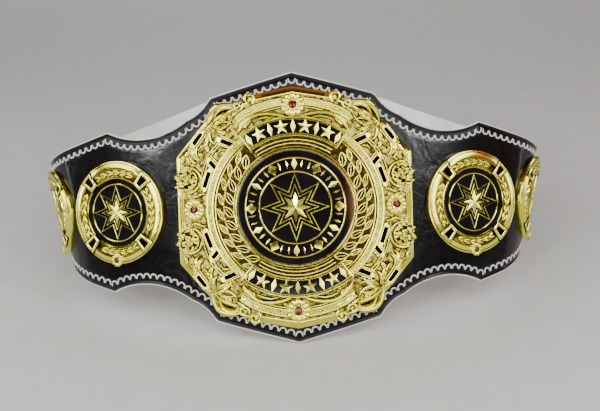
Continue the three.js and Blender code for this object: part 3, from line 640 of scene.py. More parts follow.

# %% [markdown]
# ## Gilding
# The plates are cast brass, plated with a pale, lemon gold and polished by hand. The buff
# reaches the high parts and not the ground between them, which stays stained; the ground is
# also painted dark as shade, most of all at the foot of every form. Each mesh keeps a number
# for how deep a point lies, and the material blends between two finishes.
# The light breaks up over a casting skin of about 1.3 mm, so no face is a perfect mirror.

# %% Gilded brass
gilt, tree, shader, place_on = new_material("lemon_gilded_brass_cast_polished")
depth = add(tree, "ShaderNodeAttribute", attribute_name="stain_and_shade_depth")
wear = add(tree, "ShaderNodeTexNoise", {"Vector": place_on, "Scale": 1000 / 14, "Detail": 4.0})
skin = add(tree, "ShaderNodeTexNoise", {"Vector": place_on, "Scale": 1000 / 1.3, "Detail": 3.0})
patches = add(tree, "ShaderNodeTexNoise", {"Vector": place_on, "Scale": 1000 / 4, "Detail": 3.0})
gold_tone = add(tree, "ShaderNodeValToRGB", {"Fac": wear.outputs["Fac"]})
ramp(gold_tone, [(0.3, "#ece24a"), (0.7, "#f2ed6e")])
# Where the buff half reaches, the stain and the painted shade break into patches
room_left = add(tree, "ShaderNodeMath", {0: 1.0, 1: depth.outputs["Fac"]}, operation="SUBTRACT")
halfway = add(tree, "ShaderNodeMath", {0: depth.outputs["Fac"], 1: room_left.outputs["Value"]},
              operation="MULTIPLY")
swing = add(tree, "ShaderNodeMapRange", {"Value": patches.outputs["Fac"], "From Min": 0.35,
                                         "From Max": 0.65, "To Min": -0.7, "To Max": 0.5})
swing = add(tree, "ShaderNodeMath", {0: swing.outputs["Result"], 1: halfway.outputs["Value"]},
            operation="MULTIPLY")
deep = add(tree, "ShaderNodeMath", {0: depth.outputs["Fac"], 1: swing.outputs["Value"]},
           operation="ADD")
stain_and_shade = add(tree, "ShaderNodeMapRange", {"Value": deep.outputs["Value"], "From Min": 0.2,
                                         "From Max": 0.8, "To Min": 0.0, "To Max": 1.0})
# The ground darkens to near black: stain, and painted shade in the hollows
ground_tone = add(tree, "ShaderNodeValToRGB", {"Fac": deep.outputs["Value"]})
ramp(ground_tone, [(0.4, "#c9b250"), (0.8, "#38290f"), (1.0, "#080504")])
tone = add(tree, "ShaderNodeMix", {0: stain_and_shade.outputs["Result"], 6: gold_tone.outputs["Color"],
                                   7: ground_tone.outputs["Color"]}, data_type="RGBA")
tree.links.new(tone.outputs[2], shader.inputs["Base Color"])
# The darkened ground, stain and painted shade, is duller than polished gold
dull = add(tree, "ShaderNodeMath", {0: stain_and_shade.outputs["Result"], 1: 0.3}, operation="MULTIPLY")
rough = add(tree, "ShaderNodeMapRange", {"Value": skin.outputs["Fac"], "From Min": 0.3,
                                         "From Max": 0.7, "To Min": 0.1, "To Max": 0.19})
rough = add(tree, "ShaderNodeMath", {0: rough.outputs["Result"], 1: dull.outputs["Value"]},
            operation="ADD")
tree.links.new(rough.outputs["Value"], shader.inputs["Roughness"])
skin_bump = add(tree, "ShaderNodeBump", {"Height": skin.outputs["Fac"], "Strength": 0.16,
                                         "Distance": 0.0004})
tree.links.new(skin_bump.outputs["Normal"], shader.inputs["Normal"])
shader.inputs["Metallic"].default_value = 1.0
print("gilding nodes:", len(tree.nodes))

# %% [markdown]
# ## Enamel, stones and hidden brass
# Vitreous enamel is glass melted into the sunk panels and ground flat, so it is nearly black,
# glossy and only a little uneven. The stones are red cut glass. Posts and fasteners are plain
# turned brass that nobody polishes, so it is darker and duller than the gilding.

# %% Enamel, glass and plain brass
enamel, tree, shader, flow = mottled("black_vitreous_enamel", 18, 2.0, "#0a080b", "#131014")
shine = add(tree, "ShaderNodeMapRange", {"Value": flow, "From Min": 0.3, "From Max": 0.7,
                                         "To Min": 0.06, "To Max": 0.1})
tree.links.new(shine.outputs["Result"], shader.inputs["Roughness"])
peel = add(tree, "ShaderNodeBump", {"Height": flow, "Strength": 0.06, "Distance": 0.0004})
tree.links.new(peel.outputs["Normal"], shader.inputs["Normal"])

garnet, tree, shader, _ = mottled("red_cut_glass", 3, 2.0, "#300305", "#6c0a0b")
shader.inputs["Roughness"].default_value = 0.1
shader.inputs["IOR"].default_value = 1.52

worn_brass, tree, shader, rub = mottled("plain_worn_brass_turned", 4, 4.0, "#7d6a3a", "#bda565")
matt = add(tree, "ShaderNodeMapRange", {"Value": rub, "From Min": 0.3, "From Max": 0.7,
                                        "To Min": 0.28, "To Max": 0.5})
tree.links.new(matt.outputs["Result"], shader.inputs["Roughness"])
shader.inputs["Metallic"].default_value = 1.0
print("materials:", [made.name for made in bpy.data.materials if made.use_nodes])

# %% [markdown]
# ## Turned forms and flat blanks
# Rims, rings, settings and discs are round, so a circle is the start. Its edge is extruded up
# or down and resized, step by step along the profile, as clay rises on a wheel. A profile runs
# from the outer foot over the top and inward. Anything with corners starts as a flat blank,
# which is a filled circle whose few points are moved.

# %% Turned forms


def turned(name, profile, sides, at=(0, 0), closed=True):
    """Raise a profile of (radius, height) from a circle; a closed profile makes a ring"""
    drop_all()
    (r, n), fill = profile[0], "NOTHING" if closed else "NGON"
    bpy.ops.mesh.primitive_circle_add(vertices=sides, radius=r * MM, fill_type=fill,
                                      location=(at[0] * MM, at[1] * MM, n * MM))
    obj = place(named(name))
    edit(obj, "VERT" if closed else "FACE")
    for next_r, next_n in profile[1:] + (profile[:1] if closed else []):
        bpy.ops.mesh.extrude_region_move(
            TRANSFORM_OT_translate={"value": (0, 0, (next_n - n) * MM)})
        bpy.ops.transform.resize(value=(next_r / r, next_r / r, 1),
                                 center_override=(at[0] * MM, at[1] * MM, 0))
        r, n = next_r, next_n
    merge()
    face_outward()
    done()
    return obj


def on_circle(radius, degrees, turn=0.0):
    """A place on a circle round the middle"""
    a = math.radians(degrees + turn)
    return radius * math.cos(a), radius * math.sin(a)


def radius_and_height(obj):
    """How far each point lies from the upright axis, and how high, in millimetres"""
    points = coordinates(obj) / MM
    return np.hypot(points[:, 0], points[:, 1]), points[:, 2]


# %% Flat blanks, and how deep they lie


def outlined(name, corners, n):
    """A flat face on any outline: a filled circle with its points moved to the corners"""
    drop_all()
    bpy.ops.mesh.primitive_circle_add(vertices=len(corners), fill_type="NGON")
    obj = named(name)
    set_coordinates(obj, [(x * MM, y * MM, n * MM) for x, y in corners])
    edit(obj)
    face_outward()
    done()
    # A single face has no outside, so it may still look down
    if obj.data.polygons[0].normal.z < 0:
        edit(obj)
        bpy.ops.mesh.flip_normals()
        done()
    return obj


def raised(obj, steps):
    """Extrude a face up, then inset it step by step; a step is (thickness, height) in mm"""
    edit(obj)
    for thickness, rise in steps:
        if thickness:
            bpy.ops.mesh.inset(thickness=thickness * MM, depth=rise * MM, use_even_offset=True)
        else:
            bpy.ops.mesh.extrude_region_move(TRANSFORM_OT_translate={"value": (0, 0, rise * MM)})
    done()
    return obj


def stained_and_shaded(obj, ground, reach=1.2, where=None):
    """How deep each point lies over its own ground, 1 at the ground and 0 where the buff reaches;
    the gilding paints it dark, as stain and painted shade
    """
    points = coordinates(obj) / MM
    values = np.clip(1 - (points[:, 2] - ground) / reach, 0, 1)
    if where is not None:
        values = values * where(points)
    return note(obj, "stain_and_shade_depth", values)


def clean(obj):
    """Polished all over"""
    return note(obj, "stain_and_shade_depth", 0)


# %% [markdown]
# ## The large plate: its body
# The body is a plate 3.5 mm thick with sloping sides. A plane is cut to shape with one bisect
# for each side, as a sheet is sheared, then the face is extruded and inset for the slope, a
# small bead along the rim and the sunk ground.

# %% Plate body
# The outline, one corner after another, in one quarter
PLATE_EDGE = [(0, 121), (44, 113), (78, 98), (91, 86), (120, 54), (120, 0)]
# Each side of one quarter: where it starts, and the direction straight out of it
PLATE_SIDES = []
for (s0, t0), (s1, t1) in zip(PLATE_EDGE, PLATE_EDGE[1:]):
    side_length = math.hypot(t0 - t1, s1 - s0)
    PLATE_SIDES.append((s0, t0, (t0 - t1) / side_length, (s1 - s0) / side_length))
# The sheet that the body is cut from, and the gap that every plate keeps from the leather
BLANK = 250
REST = 0.3
drop_all()
bpy.ops.mesh.primitive_plane_add(size=BLANK * MM, location=(0, 0, REST * MM))
body = place(named("plate_body"))
edit(body)
for s, t, out_s, out_t in PLATE_SIDES:
    for flip_s, flip_t in ((1, 1), (1, -1), (-1, 1), (-1, -1)):
        bpy.ops.mesh.select_all(action="SELECT")
        bpy.ops.mesh.bisect(plane_co=(flip_s * s * MM, flip_t * t * MM, 0),
                            plane_no=(flip_s * out_s, flip_t * out_t, 0), clear_outer=True)
bpy.ops.mesh.select_all(action="SELECT")
done()
# The upright edge, the slope, the outer side of the bead, its top, and down to the ground
raised(body, [(0, 1.0), (5.3, 2.4), (0.5, 0.55), (0.7, 0.05), (0.5, -0.5)])
GROUND = 3.8
# The slope and the bead take up this much of the edge
RIM_WIDTH = 6.9
print("plate body:", len(body.data.polygons), "faces")

# %% Bend lines and stain of the body
cut_strips(body, 6.0)
edit(body)
for t in range(-110, 111, 20):
    bpy.ops.mesh.select_all(action="SELECT")
    bpy.ops.mesh.bisect(plane_co=(0, t * MM, 0), plane_no=(0, 1, 0))
done()


def room(points):
    """How far inside the plate's outline a point lies, in millimetres"""
    least = np.full(len(points), math.inf)
    for s, t, out_s, out_t in PLATE_SIDES:
        inside = (s - np.abs(points[:, 0])) * out_s + (t - np.abs(points[:, 1])) * out_t
        least = np.minimum(least, inside)
    return least


def inside_bead(points):
    """Darkened on the ground of the plate, as stain and painted shade, clean on the slope and the
    bead
    """
    return 0.73 * (room(points) > RIM_WIDTH)


stained_and_shaded(body, GROUND, 1.0, inside_bead)
print("plate body, cut:", len(body.data.polygons), "faces")

# %% [markdown]
# ## Ring and wreath
# A ring frames the disc: an outer band milled all round with fine ridges, a sunk bed and an
# inner rim; the bed, the grooves and the gaps of the milling are painted dark, stain and
# painted shade. One ridge is swept and a spin with duplicates sets the rest. In the bed lie
# laurel leaves in nine pairs on each side. One pair is drawn as bright outlines round hollows
# that are painted dark, and spun upward, and a Mirror gives the other side. Under the panels
# the bed is plain.

# %% Ring
ring = turned("ring", [
    (88.8, 3.0), (88.8, 6.3), (88.4, 6.9), (87.3, 6.9), (86.9, 6.4), (83.1, 6.4), (82.7, 6.9),
    (81.7, 6.9), (81.3, 6.4), (81.2, 5.0), (80.2, 5.0), (80.1, 6.2), (79.8, 6.4), (79.2, 6.4),
    (78.9, 6.0), (78.8, 4.7), (61.5, 4.7), (61.3, 6.0), (61.0, 6.2), (60.5, 6.2), (60.2, 6.0),
    (60.1, 5.1), (59.4, 5.1), (59.3, 6.2), (58.9, 6.5), (58.1, 6.5), (57.7, 6.1), (57.6, 3.0),
], 160)
radius, height = radius_and_height(ring)
bed = (radius > 61.4) & (radius < 78.85) & (height < 5)
grooves = (height > 4.9) & (height < 5.2)
milled = (radius > 83) & (radius < 87) & (np.abs(height - 6.4) < 0.02)
# The bed, the grooves and the gaps of the milling are painted dark: stain and painted shade
note(ring, "stain_and_shade_depth", np.select([bed, grooves, milled], [0.85, 1.0, 0.7], 0))
MILLED_RIDGES = 270
milling = strokes("milling", [[(83.2, 0, 6.45, 0.5), (86.8, 0, 6.45, 0.52)]], "round")
copies_round(milling, MILLED_RIDGES, 2 * math.pi)
ring = joined("ring", [ring, stained_and_shaded(milling, 6.35, 0.3)])
print("ring:", len(ring.data.polygons), "faces")

# %% Leaf of the wreath
BED_LEVEL = 4.7


def hollow_leaf(base, tip, width):
    """A bright rim round a hollow painted dark, stain and painted shade, with a rib; base and tip
    are (radius, degrees)
    """
    start, end = np.array(on_circle(*base)), np.array(on_circle(*tip))
    along = end - start
    across = np.array([-along[1], along[0]]) / math.hypot(*along)
    steps = [0, 0.08, 0.2, 0.36, 0.55, 0.74, 0.9]
    swell = [width * math.sin(math.pi * u ** 0.85) ** 0.75 if u else 0 for u in steps]
    there = [start + along * u + across * w for u, w in zip(steps, swell)]
    back = [start + along * u - across * w for u, w in zip(steps[:0:-1], swell[:0:-1])]
    rim = [(*point, BED_LEVEL + 0.7, 0.68) for point in there + [end] + back]
    hollow = [(*(start + along * u), BED_LEVEL + 0.15, max(w, 0.2)) for u, w in zip(steps, swell)]
    rib = [(*(start + along * u), BED_LEVEL + 0.35, 0.42) for u in (0.12, 0.5, 0.8)]
    return rim, hollow, rib


# The large and the small leaf of a pair: base, tip and half width
LEAF_PAIR = [((62.4, -53.5), (71.0, -44.3), 3.2), ((72.0, -54.5), (77.8, -45.8), 2.1)]
rims, hollows, leaf_ribs = zip(*(hollow_leaf(*shape) for shape in LEAF_PAIR))
print("points round each leaf:", len(rims[0]))

# %% Wreath
# Pairs on each side, and the degrees from one to the next
LEAF_PAIRS, LEAF_STEP = 9, 11.6
stem = [(*on_circle(71.4, -56 + i * 2.4), 5.1, 0.6) for i in range(6)]
laurel = joined("laurel", [
    note(strokes("leaf_rims", rims, "round", closed=True), "stain_and_shade_depth", 0),
    note(strokes("leaf_ribs", list(leaf_ribs) + [stem]), "stain_and_shade_depth", 0.1),
    # The hollows are painted almost black: stain and painted shade
    note(strokes("leaf_hollows", hollows, "foot"), "stain_and_shade_depth", 0.95),
])
more_pairs = LEAF_PAIRS - 1
copies_round(laurel, more_pairs, -math.radians(LEAF_STEP * more_pairs))
mirrored(laurel, "X")
# Under the two panels the bed holds plain thin arcs
arcs = [[(*on_circle(r, middle - 34 + i * 2), 5.1, 0.6) for i in range(35)]
        for r in (64.0, 67.6) for middle in (90, 270)]
laurel = joined("laurel", [laurel, stained_and_shaded(strokes("arcs", arcs, "round"), 4.3, 1.0)])
print("wreath:", len(laurel.data.polygons), "faces")

# %% [markdown]
# ## Leaves and curls
# The rest of the plate is traditional scrollwork: acanthus fans at the corners, paired curls
# over the upper and lower edge, grainy coils at the sides, leaf arches over the panels. Only
# one quarter is drawn. A Mirror modifier, applied, gives the other three. Two kinds of stroke
# are enough for the leaves: one that bends and swells, and one that curls up.

# %% Leaf and curl


def leaf(a, b, bulge, width, lift=0.0, tip=0.25, steps=9, fat=0.42):
    """A leaf or stem between two places, bent to one side and swelling where it is fattest"""
    (ax, ay), (bx, by) = a, b
    line = []
    for step in range(steps + 1):
        u = step / steps
        side = 4 * bulge * u * (1 - u)
        swell = math.sin(math.pi * min(1, 0.12 + 0.88 * u ** (math.log(0.5) / math.log(fat))))
        w = max(width * swell, tip)
        line.append((ax + (bx - ax) * u - (by - ay) * side, ay + (by - ay) * u + (bx - ax) * side,
                     GROUND + 0.2 + 0.55 * w + lift * math.sin(math.pi * u), w))
    return line


def curl(x, y, radius, start, sweep, wide, thin, lift=0.8, tighten=0.78, steps=18):
    """A spiral that tightens, thins and rises towards its eye"""
    line = []
    for step in range(steps + 1):
        u = step / steps
        r = radius * (1 - tighten * u ** 0.8)
        a = math.radians(start + sweep * u)
        w = wide + (thin - wide) * u
        line.append((x + r * math.cos(a), y + r * math.sin(a),
                     GROUND + 0.3 + 0.55 * w + lift * u, w))
    return line


print("half width along a leaf:", [round(w, 1) for *_, w in leaf((0, 0), (9, 9), 0.2, 2.0)])

# %% Leaves and curls of one quarter
ridged = [
    # paired curls over the edge, and the stems that carry them
    curl(43.6, 109.6, 6.6, 235, -480, 1.6, 0.9, 1.3),
    curl(54.4, 102.6, 5.6, 160, 450, 1.5, 0.8, 1.0),
    leaf((38.5, 103.0), (52.0, 96.5), -0.25, 1.7, 1.0),
    leaf((49.5, 107.0), (61, 96.5), 0.22, 1.6, 0.9),
    leaf((53.0, 97.5), (61.5, 88.5), 0.15, 1.6, 0.8),
    # the long leaf along the corner, and the fan that opens from it
    leaf((59.0, 104.4), (86.5, 83.0), 0.27, 2.9, 1.3),
    leaf((60.0, 96.5), (83.0, 84.0), 0.10, 1.7, 1.0),
    leaf((81.5, 84.0), (60.0, 91.5), 0.26, 1.9, 1.2),
    leaf((80.5, 82.5), (59.0, 84.5), -0.20, 1.9, 1.1),
    leaf((80.0, 80.5), (62.0, 78.5), 0.22, 1.9, 1.1),
    leaf((83.0, 79.5), (77.5, 65.0), 0.22, 1.9, 1.1),
    leaf((85.5, 80.5), (90.5, 64.0), -0.22, 1.9, 1.1),
    leaf((88.0, 82.0), (101.5, 66.5), 0.10, 1.3, 1.0),
    leaf((84.0, 80.0), (93.0, 78.5), 0.25, 1.4, 0.7),
    # stems and leaves between the fan and the coil
    leaf((101.0, 71.0), (94.0, 48.0), 0.24, 2.0, 1.1),
    leaf((97.0, 63.0), (91.0, 49.0), 0.30, 1.5, 0.7),
    leaf((103.0, 69.5), (110.5, 53.5), -0.20, 2.0, 1.2),
    leaf((106.5, 63.0), (107.5, 45.0), -0.26, 2.1, 1.3),
    leaf((113.0, 58.0), (116.5, 43.5), -0.20, 1.7, 1.1),
    leaf((85.0, 57.5), (76.0, 63.5), 0.20, 1.3, 0.8),
    leaf((85.0, 57.5), (86.5, 68.0), -0.20, 1.3, 0.8),
    leaf((85.0, 57.5), (92.5, 67.0), 0.22, 1.2, 0.7),
    leaf((67.0, 59.5), (76.0, 53.5), 0.30, 1.3, 0.8),
    # the coil at the side, and small leaves between it and the stone
    curl(107.6, 30.5, 13.0, 62, 236, 1.3, 1.1, 0.6, 0.0, 20),
    curl(108.4, 30.5, 10.4, 75, 220, 1.1, 0.8, 0.6, 0.1, 18),
    leaf((95.5, 16.5), (106.0, 16.5), -0.30, 1.5, 0.9),
    leaf((89.5, 15.5), (97.5, 11.5), 0.25, 1.3, 0.7),
    # leaf arches over the panels
    [(x, y, GROUND + 1.5 + 0.5 * w, w) for x, y, w in (
        (6.0, 89.4, 0.9), (11.5, 91.8, 1.5), (16.4, 93.3, 1.7), (25.4, 94.6, 1.7), (34, 93.9, 1.8),
        (40.4, 91.6, 2.0), (45.5, 87.8, 2.2), (50.0, 82.8, 2.0), (54.0, 77.2, 1.2))],
    [(x, y, GROUND + 1.2, w) for x, y, w in (
        (19.0, 89.2, 0.5), (26.5, 90.6, 1.1), (33.0, 89.4, 1.1), (39.0, 86.6, 0.7))],
    leaf((48.0, 90.5), (58.0, 78.0), -0.10, 1.5, 0.9),
]
veined = [
    leaf((59.5, 101.0), (79.0, 90.5), 0.26, 2.3, 1.2),
    leaf((66.0, 94.0), (78.5, 88.0), -0.18, 2.2, 1.0),
    leaf((66.5, 74.5), (79.0, 78.0), 0.15, 2.4, 1.0),
    leaf((86.5, 74.5), (95.5, 58.0), -0.18, 2.4, 1.0),
    leaf((99.5, 62.0), (98.0, 45.5), 0.24, 2.7, 1.1),
    leaf((41.5, 91.0), (53.0, 79.5), -0.12, 1.9, 1.0),
]
print("leaves and curls:", len(ridged) + len(veined))

# %% [markdown]
# ## Strapwork, rails and painted shade
# Between the leaves run plain forms: a double ridge round the coil, a ribbed band over the
# curls, and broad straps that tie the ring to the corners, each between two rails. At the foot
# of every form a dark outline is painted: painted shade where the form meets the ground, with
# the stain that gathers there. So each stroke gets a foot, a slightly wider, almost flat stroke
# on the ground that is noted as fully dark.

# %% Ridges, band and straps
# A thin double ridge parts the strapwork from the coil
for shift in (0, 2.6):
    ridged.append([(x + shift, y + shift * 0.4, GROUND + 1.3, 0.7) for x, y in (
        (62.5, 73.0), (70, 67.5), (77, 61.0), (82.6, 54), (86.6, 46), (89.6, 37), (91.6, 27),
        (92.2, 17))])
# The ribbed band runs from the stone to the curls, between rails
BAND = [(11.0, 105.6), (22.7, 103.6), (37.6, 99.6), (48.0, 94.8), (56.5, 89.0)]
RIB_PITCH = 1.4
rails = [
    [(x, y + 3.1, GROUND + 1.1, 0.95) for x, y in BAND],
    [(x - 0.6, y - 3.1, GROUND + 1.1, 0.95) for x, y in BAND],
    [(x - 0.9, y - 5.4, GROUND + 0.7, 0.6) for x, y in BAND],
]
ribs = []
for (x, y), angle in spaced(np.array(BAND), RIB_PITCH):
    dx, dy = -math.sin(angle) * 2.6, math.cos(angle) * 2.6
    ribs.append([(x - dx, y - dy, GROUND + 1.0, 0.52), (x + dx, y + dy, GROUND + 1.0, 0.52)])
# Three reeds beside the stone at the side
for x in (112.8, 114.9, 117.0):
    ribs.append([(x, 0, GROUND + 0.8, 1.0), (x, 8, GROUND + 0.8, 1.0),
                 (x, 16.5, GROUND + 0.7, 0.6)])


def direction(a, b):
    """The length of a straight run and its direction"""
    (ax, ay), (bx, by) = a, b
    length = math.hypot(bx - ax, by - ay)
    return length, (bx - ax) / length, (by - ay) / length


def tapered(a, b, ends, rise, off=0.0):
    """A straight stroke, alike at both ends, which are given as (distance, half width)"""
    length, ux, uy = direction(a, b)
    spots = ends + [(length - d, w) for d, w in reversed(ends)]
    return [(a[0] - uy * off + ux * d, a[1] + ux * off + uy * d, GROUND + rise, w)
            for d, w in spots]


STRAPS = [((57.0, 62.4), (76.5, 71.0)), ((75.0, 38.3), (87.0, 52.0)),
          ((83.4, 41.3), (91.6, 18.6)), ((90.0, 79.2), (102.5, 62.9))]
RAIL_OFF = 4.3
straps = [tapered(*ends, [(0, 1.0), (1.6, 2.6)], 1.2) for ends in STRAPS]
rails += [tapered(*ends, [(0.5, 0.4), (2.5, 0.75)], 1.0, off)
          for ends in STRAPS for off in (-RAIL_OFF, RAIL_OFF)]
print("ribs, rails and straps:", len(ribs), len(rails), len(straps))

# %% Feet of painted shade, and the strokes of a quarter swept
# Each foot is a dark outline of painted shade where the stroke meets the ground
shadow_feet = []
for index, line in enumerate(ridged + veined + rails + straps):
    # Each foot lies a hair above the last, so that no two share a face
    inner = [(x, y, GROUND + 0.1 + 0.002 * index, w + 0.8)
             for (x, y, z, w), space in zip(line, room(np.array(line))) if space > 7.5]
    if len(inner) > 1:
        shadow_feet.append(inner)


def swept(name, lines, section):
    """Strokes of the quarter, painted darker towards their foot: stain and painted shade"""
    return stained_and_shaded(strokes(name, lines, section), GROUND - 0.2, 1.5)


quarter = [
    swept("ridged", ridged, "ridge"), swept("veined", veined, "vein"),
    swept("rails", rails, "round"), swept("ribs", ribs, "round"),
    note(strokes("shadow_feet", shadow_feet, "foot"), "stain_and_shade_depth", 1), swept("straps", straps, "strap"),
]
print("strokes in a quarter:", len(ridged + veined + rails + ribs + shadow_feet + straps))

# %% [markdown]
# ## Grain, slots and the whole ornament
# The heart of each side coil is a dome, packed with small grains that lie any way round, as a
# punch leaves them. A seeded random draw places them, so they are the same at every run. The
# slots are sunk between raised borders: a blank is extruded up, inset and pushed down again.

# %% Grain of the side coils
rng = np.random.default_rng(7)


def grain(x, y, z, size):
    """One granule: a short stroke, laid any way round, that swells like half an egg"""
    a = rng.random() * math.pi
    return [(x + u * size * math.cos(a), y + u * size * math.sin(a), z - 0.7 * size * u * u,
             0.9 * size * math.sqrt(1.05 - u * u)) for u in (-0.95, -0.6, 0, 0.6, 0.95)]


grains = []
for _ in range(72):
    r, a = 11.0 * math.sqrt(rng.random()), rng.random() * 2 * math.pi
    x, y = 110.6 + r * math.cos(a), 30.5 + 1.12 * r * math.sin(a)
    h = GROUND + 1.5 + 1.6 * (1 - (r / 11.2) ** 2)
    grains.append(grain(x, y, h, 1.3 + 0.9 * rng.random()))
# A smaller patch below the coil
for _ in range(34):
    x, y = 106 + 8 * rng.random(), 12.0 + 7 * rng.random()
    grains.append(grain(x, y, GROUND + 0.8, 0.7 + 0.5 * rng.random()))
quarter.append(swept("grains", grains, "round"))
dome = turned("coil_heart", [(11.2, 0.5), (11.7, 3.4), (10.6, 4.8), (7.0, 5.7), (3.5, 6.1),
                             (0.4, 6.3)], 32, at=(110.4, 30.5), closed=False)
# The dome shows between the grains and is painted almost black: painted shade between them, with
# stain
quarter.append(note(dome, "stain_and_shade_depth", 0.95))
print("grains:", len(grains))

# %% Sunk slots, and the four quarters
SLOTS = [((91.5, 77.2), (100.1, 66.0)), ((60.2, 63.8), (72.0, 69.0)), ((77.0, 40.6), (84.0, 48.6)),
         ((84.6, 38.0), (90.2, 22.5))]
SLOT_HALF = 3.2
SLOT_FOOT, SLOT_FLOOR = 2.6, 5.6
for (ax, ay), (bx, by) in SLOTS:
    _, ux, uy = direction((ax, ay), (bx, by))
    corners = [(ax - ux - uy * w, ay - uy + ux * w) for w in (-SLOT_HALF, SLOT_HALF)]
    corners += [(bx + ux - uy * w, by + uy + ux * w) for w in (SLOT_HALF, -SLOT_HALF)]
    slot = raised(outlined("slot_frame", corners, SLOT_FOOT),
                  [(0, 3.9), (0.35, 0.3), (0.55, 0.0), (0.2, -1.2)])
    height = radius_and_height(slot)[1]
    quarter.append(note(slot, "stain_and_shade_depth", np.abs(height - SLOT_FLOOR) < 0.1))
ornament = mirrored(joined("ornament", quarter), "XY")
print("ornament:", len(ornament.data.polygons), "faces")

# %% [markdown]
# ## Panels, stones and the joined plate
# Two curved panels of black enamel carry a row of figures. Their frames are sectors: the
# section of the frame is drawn once and spun through the panel's angle. A stone sits in a
# flower: one petal is swept, a spin with duplicates gives the ring of them, and the seat is
# turned.

# %% Panel frames
# Each panel: the angle of its middle, inner and outer radius, half its angle, and which way
# its figures stand
BANNERS = {"top_banner": (90, 71.0, 90.6, 36.5, 1), "bottom_banner": (270, 70.0, 90.0, 38.0, -1)}
SECTOR_STEPS = 40


def sector(name, corners, middle, half):
    """Spin a section of (radius, height) corners round the middle of the plate"""
    obj = outlined(name, [(r, 0) for r, n in corners], 0)
    a = math.radians(middle - half)
    set_coordinates(obj, [(r * math.cos(a) * MM, r * math.sin(a) * MM, n * MM)
                          for r, n in corners])
    edit(obj)
    bpy.ops.mesh.spin(steps=SECTOR_STEPS, angle=-math.radians(2 * half), center=(0, 0, 0),
                      axis=(0, 0, 1))
    merge()
    face_outward()
    done()
    return obj


plate_parts = [body, ring, laurel, ornament]
for name, (middle, inner, outer, half, _) in BANNERS.items():
    frame_piece = sector(name + "_frame", [
        (inner, 2), (outer, 2), (outer, 7.2), (outer - 0.35, 7.6), (outer - 0.95, 7.6),
        (outer - 1.3, 7.3), (outer - 1.3, 6.5), (inner + 1.3, 6.5), (inner + 1.3, 7.3),
        (inner + 0.95, 7.6), (inner + 0.35, 7.6), (inner, 7.2),
    ], middle, half)
    ends = strokes(name + "_ends", [
        [(*on_circle(r, middle, side * (half - 0.4)), 6.9, 0.7) for r in (inner, outer)]
        for side in (-1, 1)
    ], "round")
    plate_parts += [clean(frame_piece), clean(ends)]
print("parts of the plate:", len(plate_parts))

# %% Settings and stones
# Each stone: its place and the radius of its flower; seat and stone keep the same proportion
STONES = {"gem_top": (0, 102.2, 11.2), "gem_bottom": (0, -102.8, 11.2),
          "gem_left": (-101, 0, 10.2), "gem_right": (101, 0, 10.2)}
SEAT_SHARE, STONE_SHARE = 4.1 / 11.2, 3.8 / 11.2


def flower(x, y, radius, seat, top, petals=12):
    """The setting of a stone: a turned cup with a ring of petals and a bead round the seat"""
    hole = SEAT_SHARE * radius
    cup = turned("cup", [
        (radius * 0.95, 2.6), (radius * 0.97, top - 2.3), (radius * 0.85, top - 1.5),
        (hole + 1.1, top - 0.35), (hole + 0.7, top), (hole + 0.15, top - 0.1), (hole, top - 0.6),
        (hole, seat), (0.3, seat),
    ], 32, at=(x, y), closed=False)
    petal = []
    for step in range(7):
        u = step / 6
        r = hole + 1.0 + (radius - hole - 0.9) * u
        w = radius * (0.08 + 0.2 * math.sin(math.pi * (0.08 + 0.62 * u)) ** 1.2)
        petal.append((x + r, y, top - 0.8 - 1.2 * u ** 1.8, w * (0.5 if step == 6 else 1)))
    ring_of = strokes("petals", [petal], "round")
    copies_round(ring_of, petals, 2 * math.pi, (x, y))
    return [clean(cup), stained_and_shaded(ring_of, top - 4.6, 1.2)]


def cut_stone(name, x, y, radius, low):
    """A round stone with a table and two rows of facets"""
    return turned(name, [
        (radius * 0.55, low), (radius, low + 1.9), (radius, low + 2.2), (radius * 0.72, low + 3.2),
        (radius * 0.3, low + 3.7),
    ], 10, at=(x, y), closed=False)


for x, y, radius in STONES.values():
    plate_parts += flower(x, y, radius, 5.0, 8.4)
plate = joined("main_plate_cast", plate_parts)
finish_piece(plate, gilt, "gold", ["main_plate"], crease=32)
for name, (x, y, radius) in STONES.items():
    finish_piece(cut_stone(name + "_cut", x, y, STONE_SHARE * radius, 5.3), garnet, "stone",
                 [name], crease=5)

# %% [markdown]
# ## Figures on the enamel
# Stars and lozenges fill the panels, and the discs carry a compass star. Each figure is a
# filled circle of a few points with every second one drawn in. It is extruded and poked, so it
# has a ridge to every tip that takes light on one side only, as a struck star does. A figure
# is modelled once at the middle and copied to its places.

# %% Figures


def star_corners(tips, outer, inner):
    """Corners of a star with one tip up"""
    return [on_circle(inner if i % 2 else outer, 90 + i * 180 / tips) for i in range(2 * tips)]


def figure(name, corners, low, wall, peak):
    """A struck figure with upright walls and a ridge to every corner"""
    obj = outlined(name, corners, low)
    edit(obj)
    bpy.ops.mesh.extrude_region_move(TRANSFORM_OT_translate={"value": (0, 0, wall * MM)})
    bpy.ops.mesh.poke(offset=peak * MM)
    done()
    return obj


def set_down(obj, name, radius, degrees, upright=1):
    """A copy of a figure, turned to stand on a circle"""
    twin = copied(obj, name)
    a = math.radians(degrees)
    turn = a - upright * math.pi / 2
    points = coordinates(twin)
    x, y = points[:, 0].copy(), points[:, 1].copy()
    points[:, 0] = radius * MM * math.cos(a) + x * math.cos(turn) - y * math.sin(turn)
    points[:, 1] = radius * MM * math.sin(a) + x * math.sin(turn) + y * math.cos(turn)
    set_coordinates(twin, points)
    return twin


# %% Panels of figures
# The heights of the figures' feet and of the thin border round them
FIGURE_FOOT, BORDER_HEIGHT = 7.5, 7.62
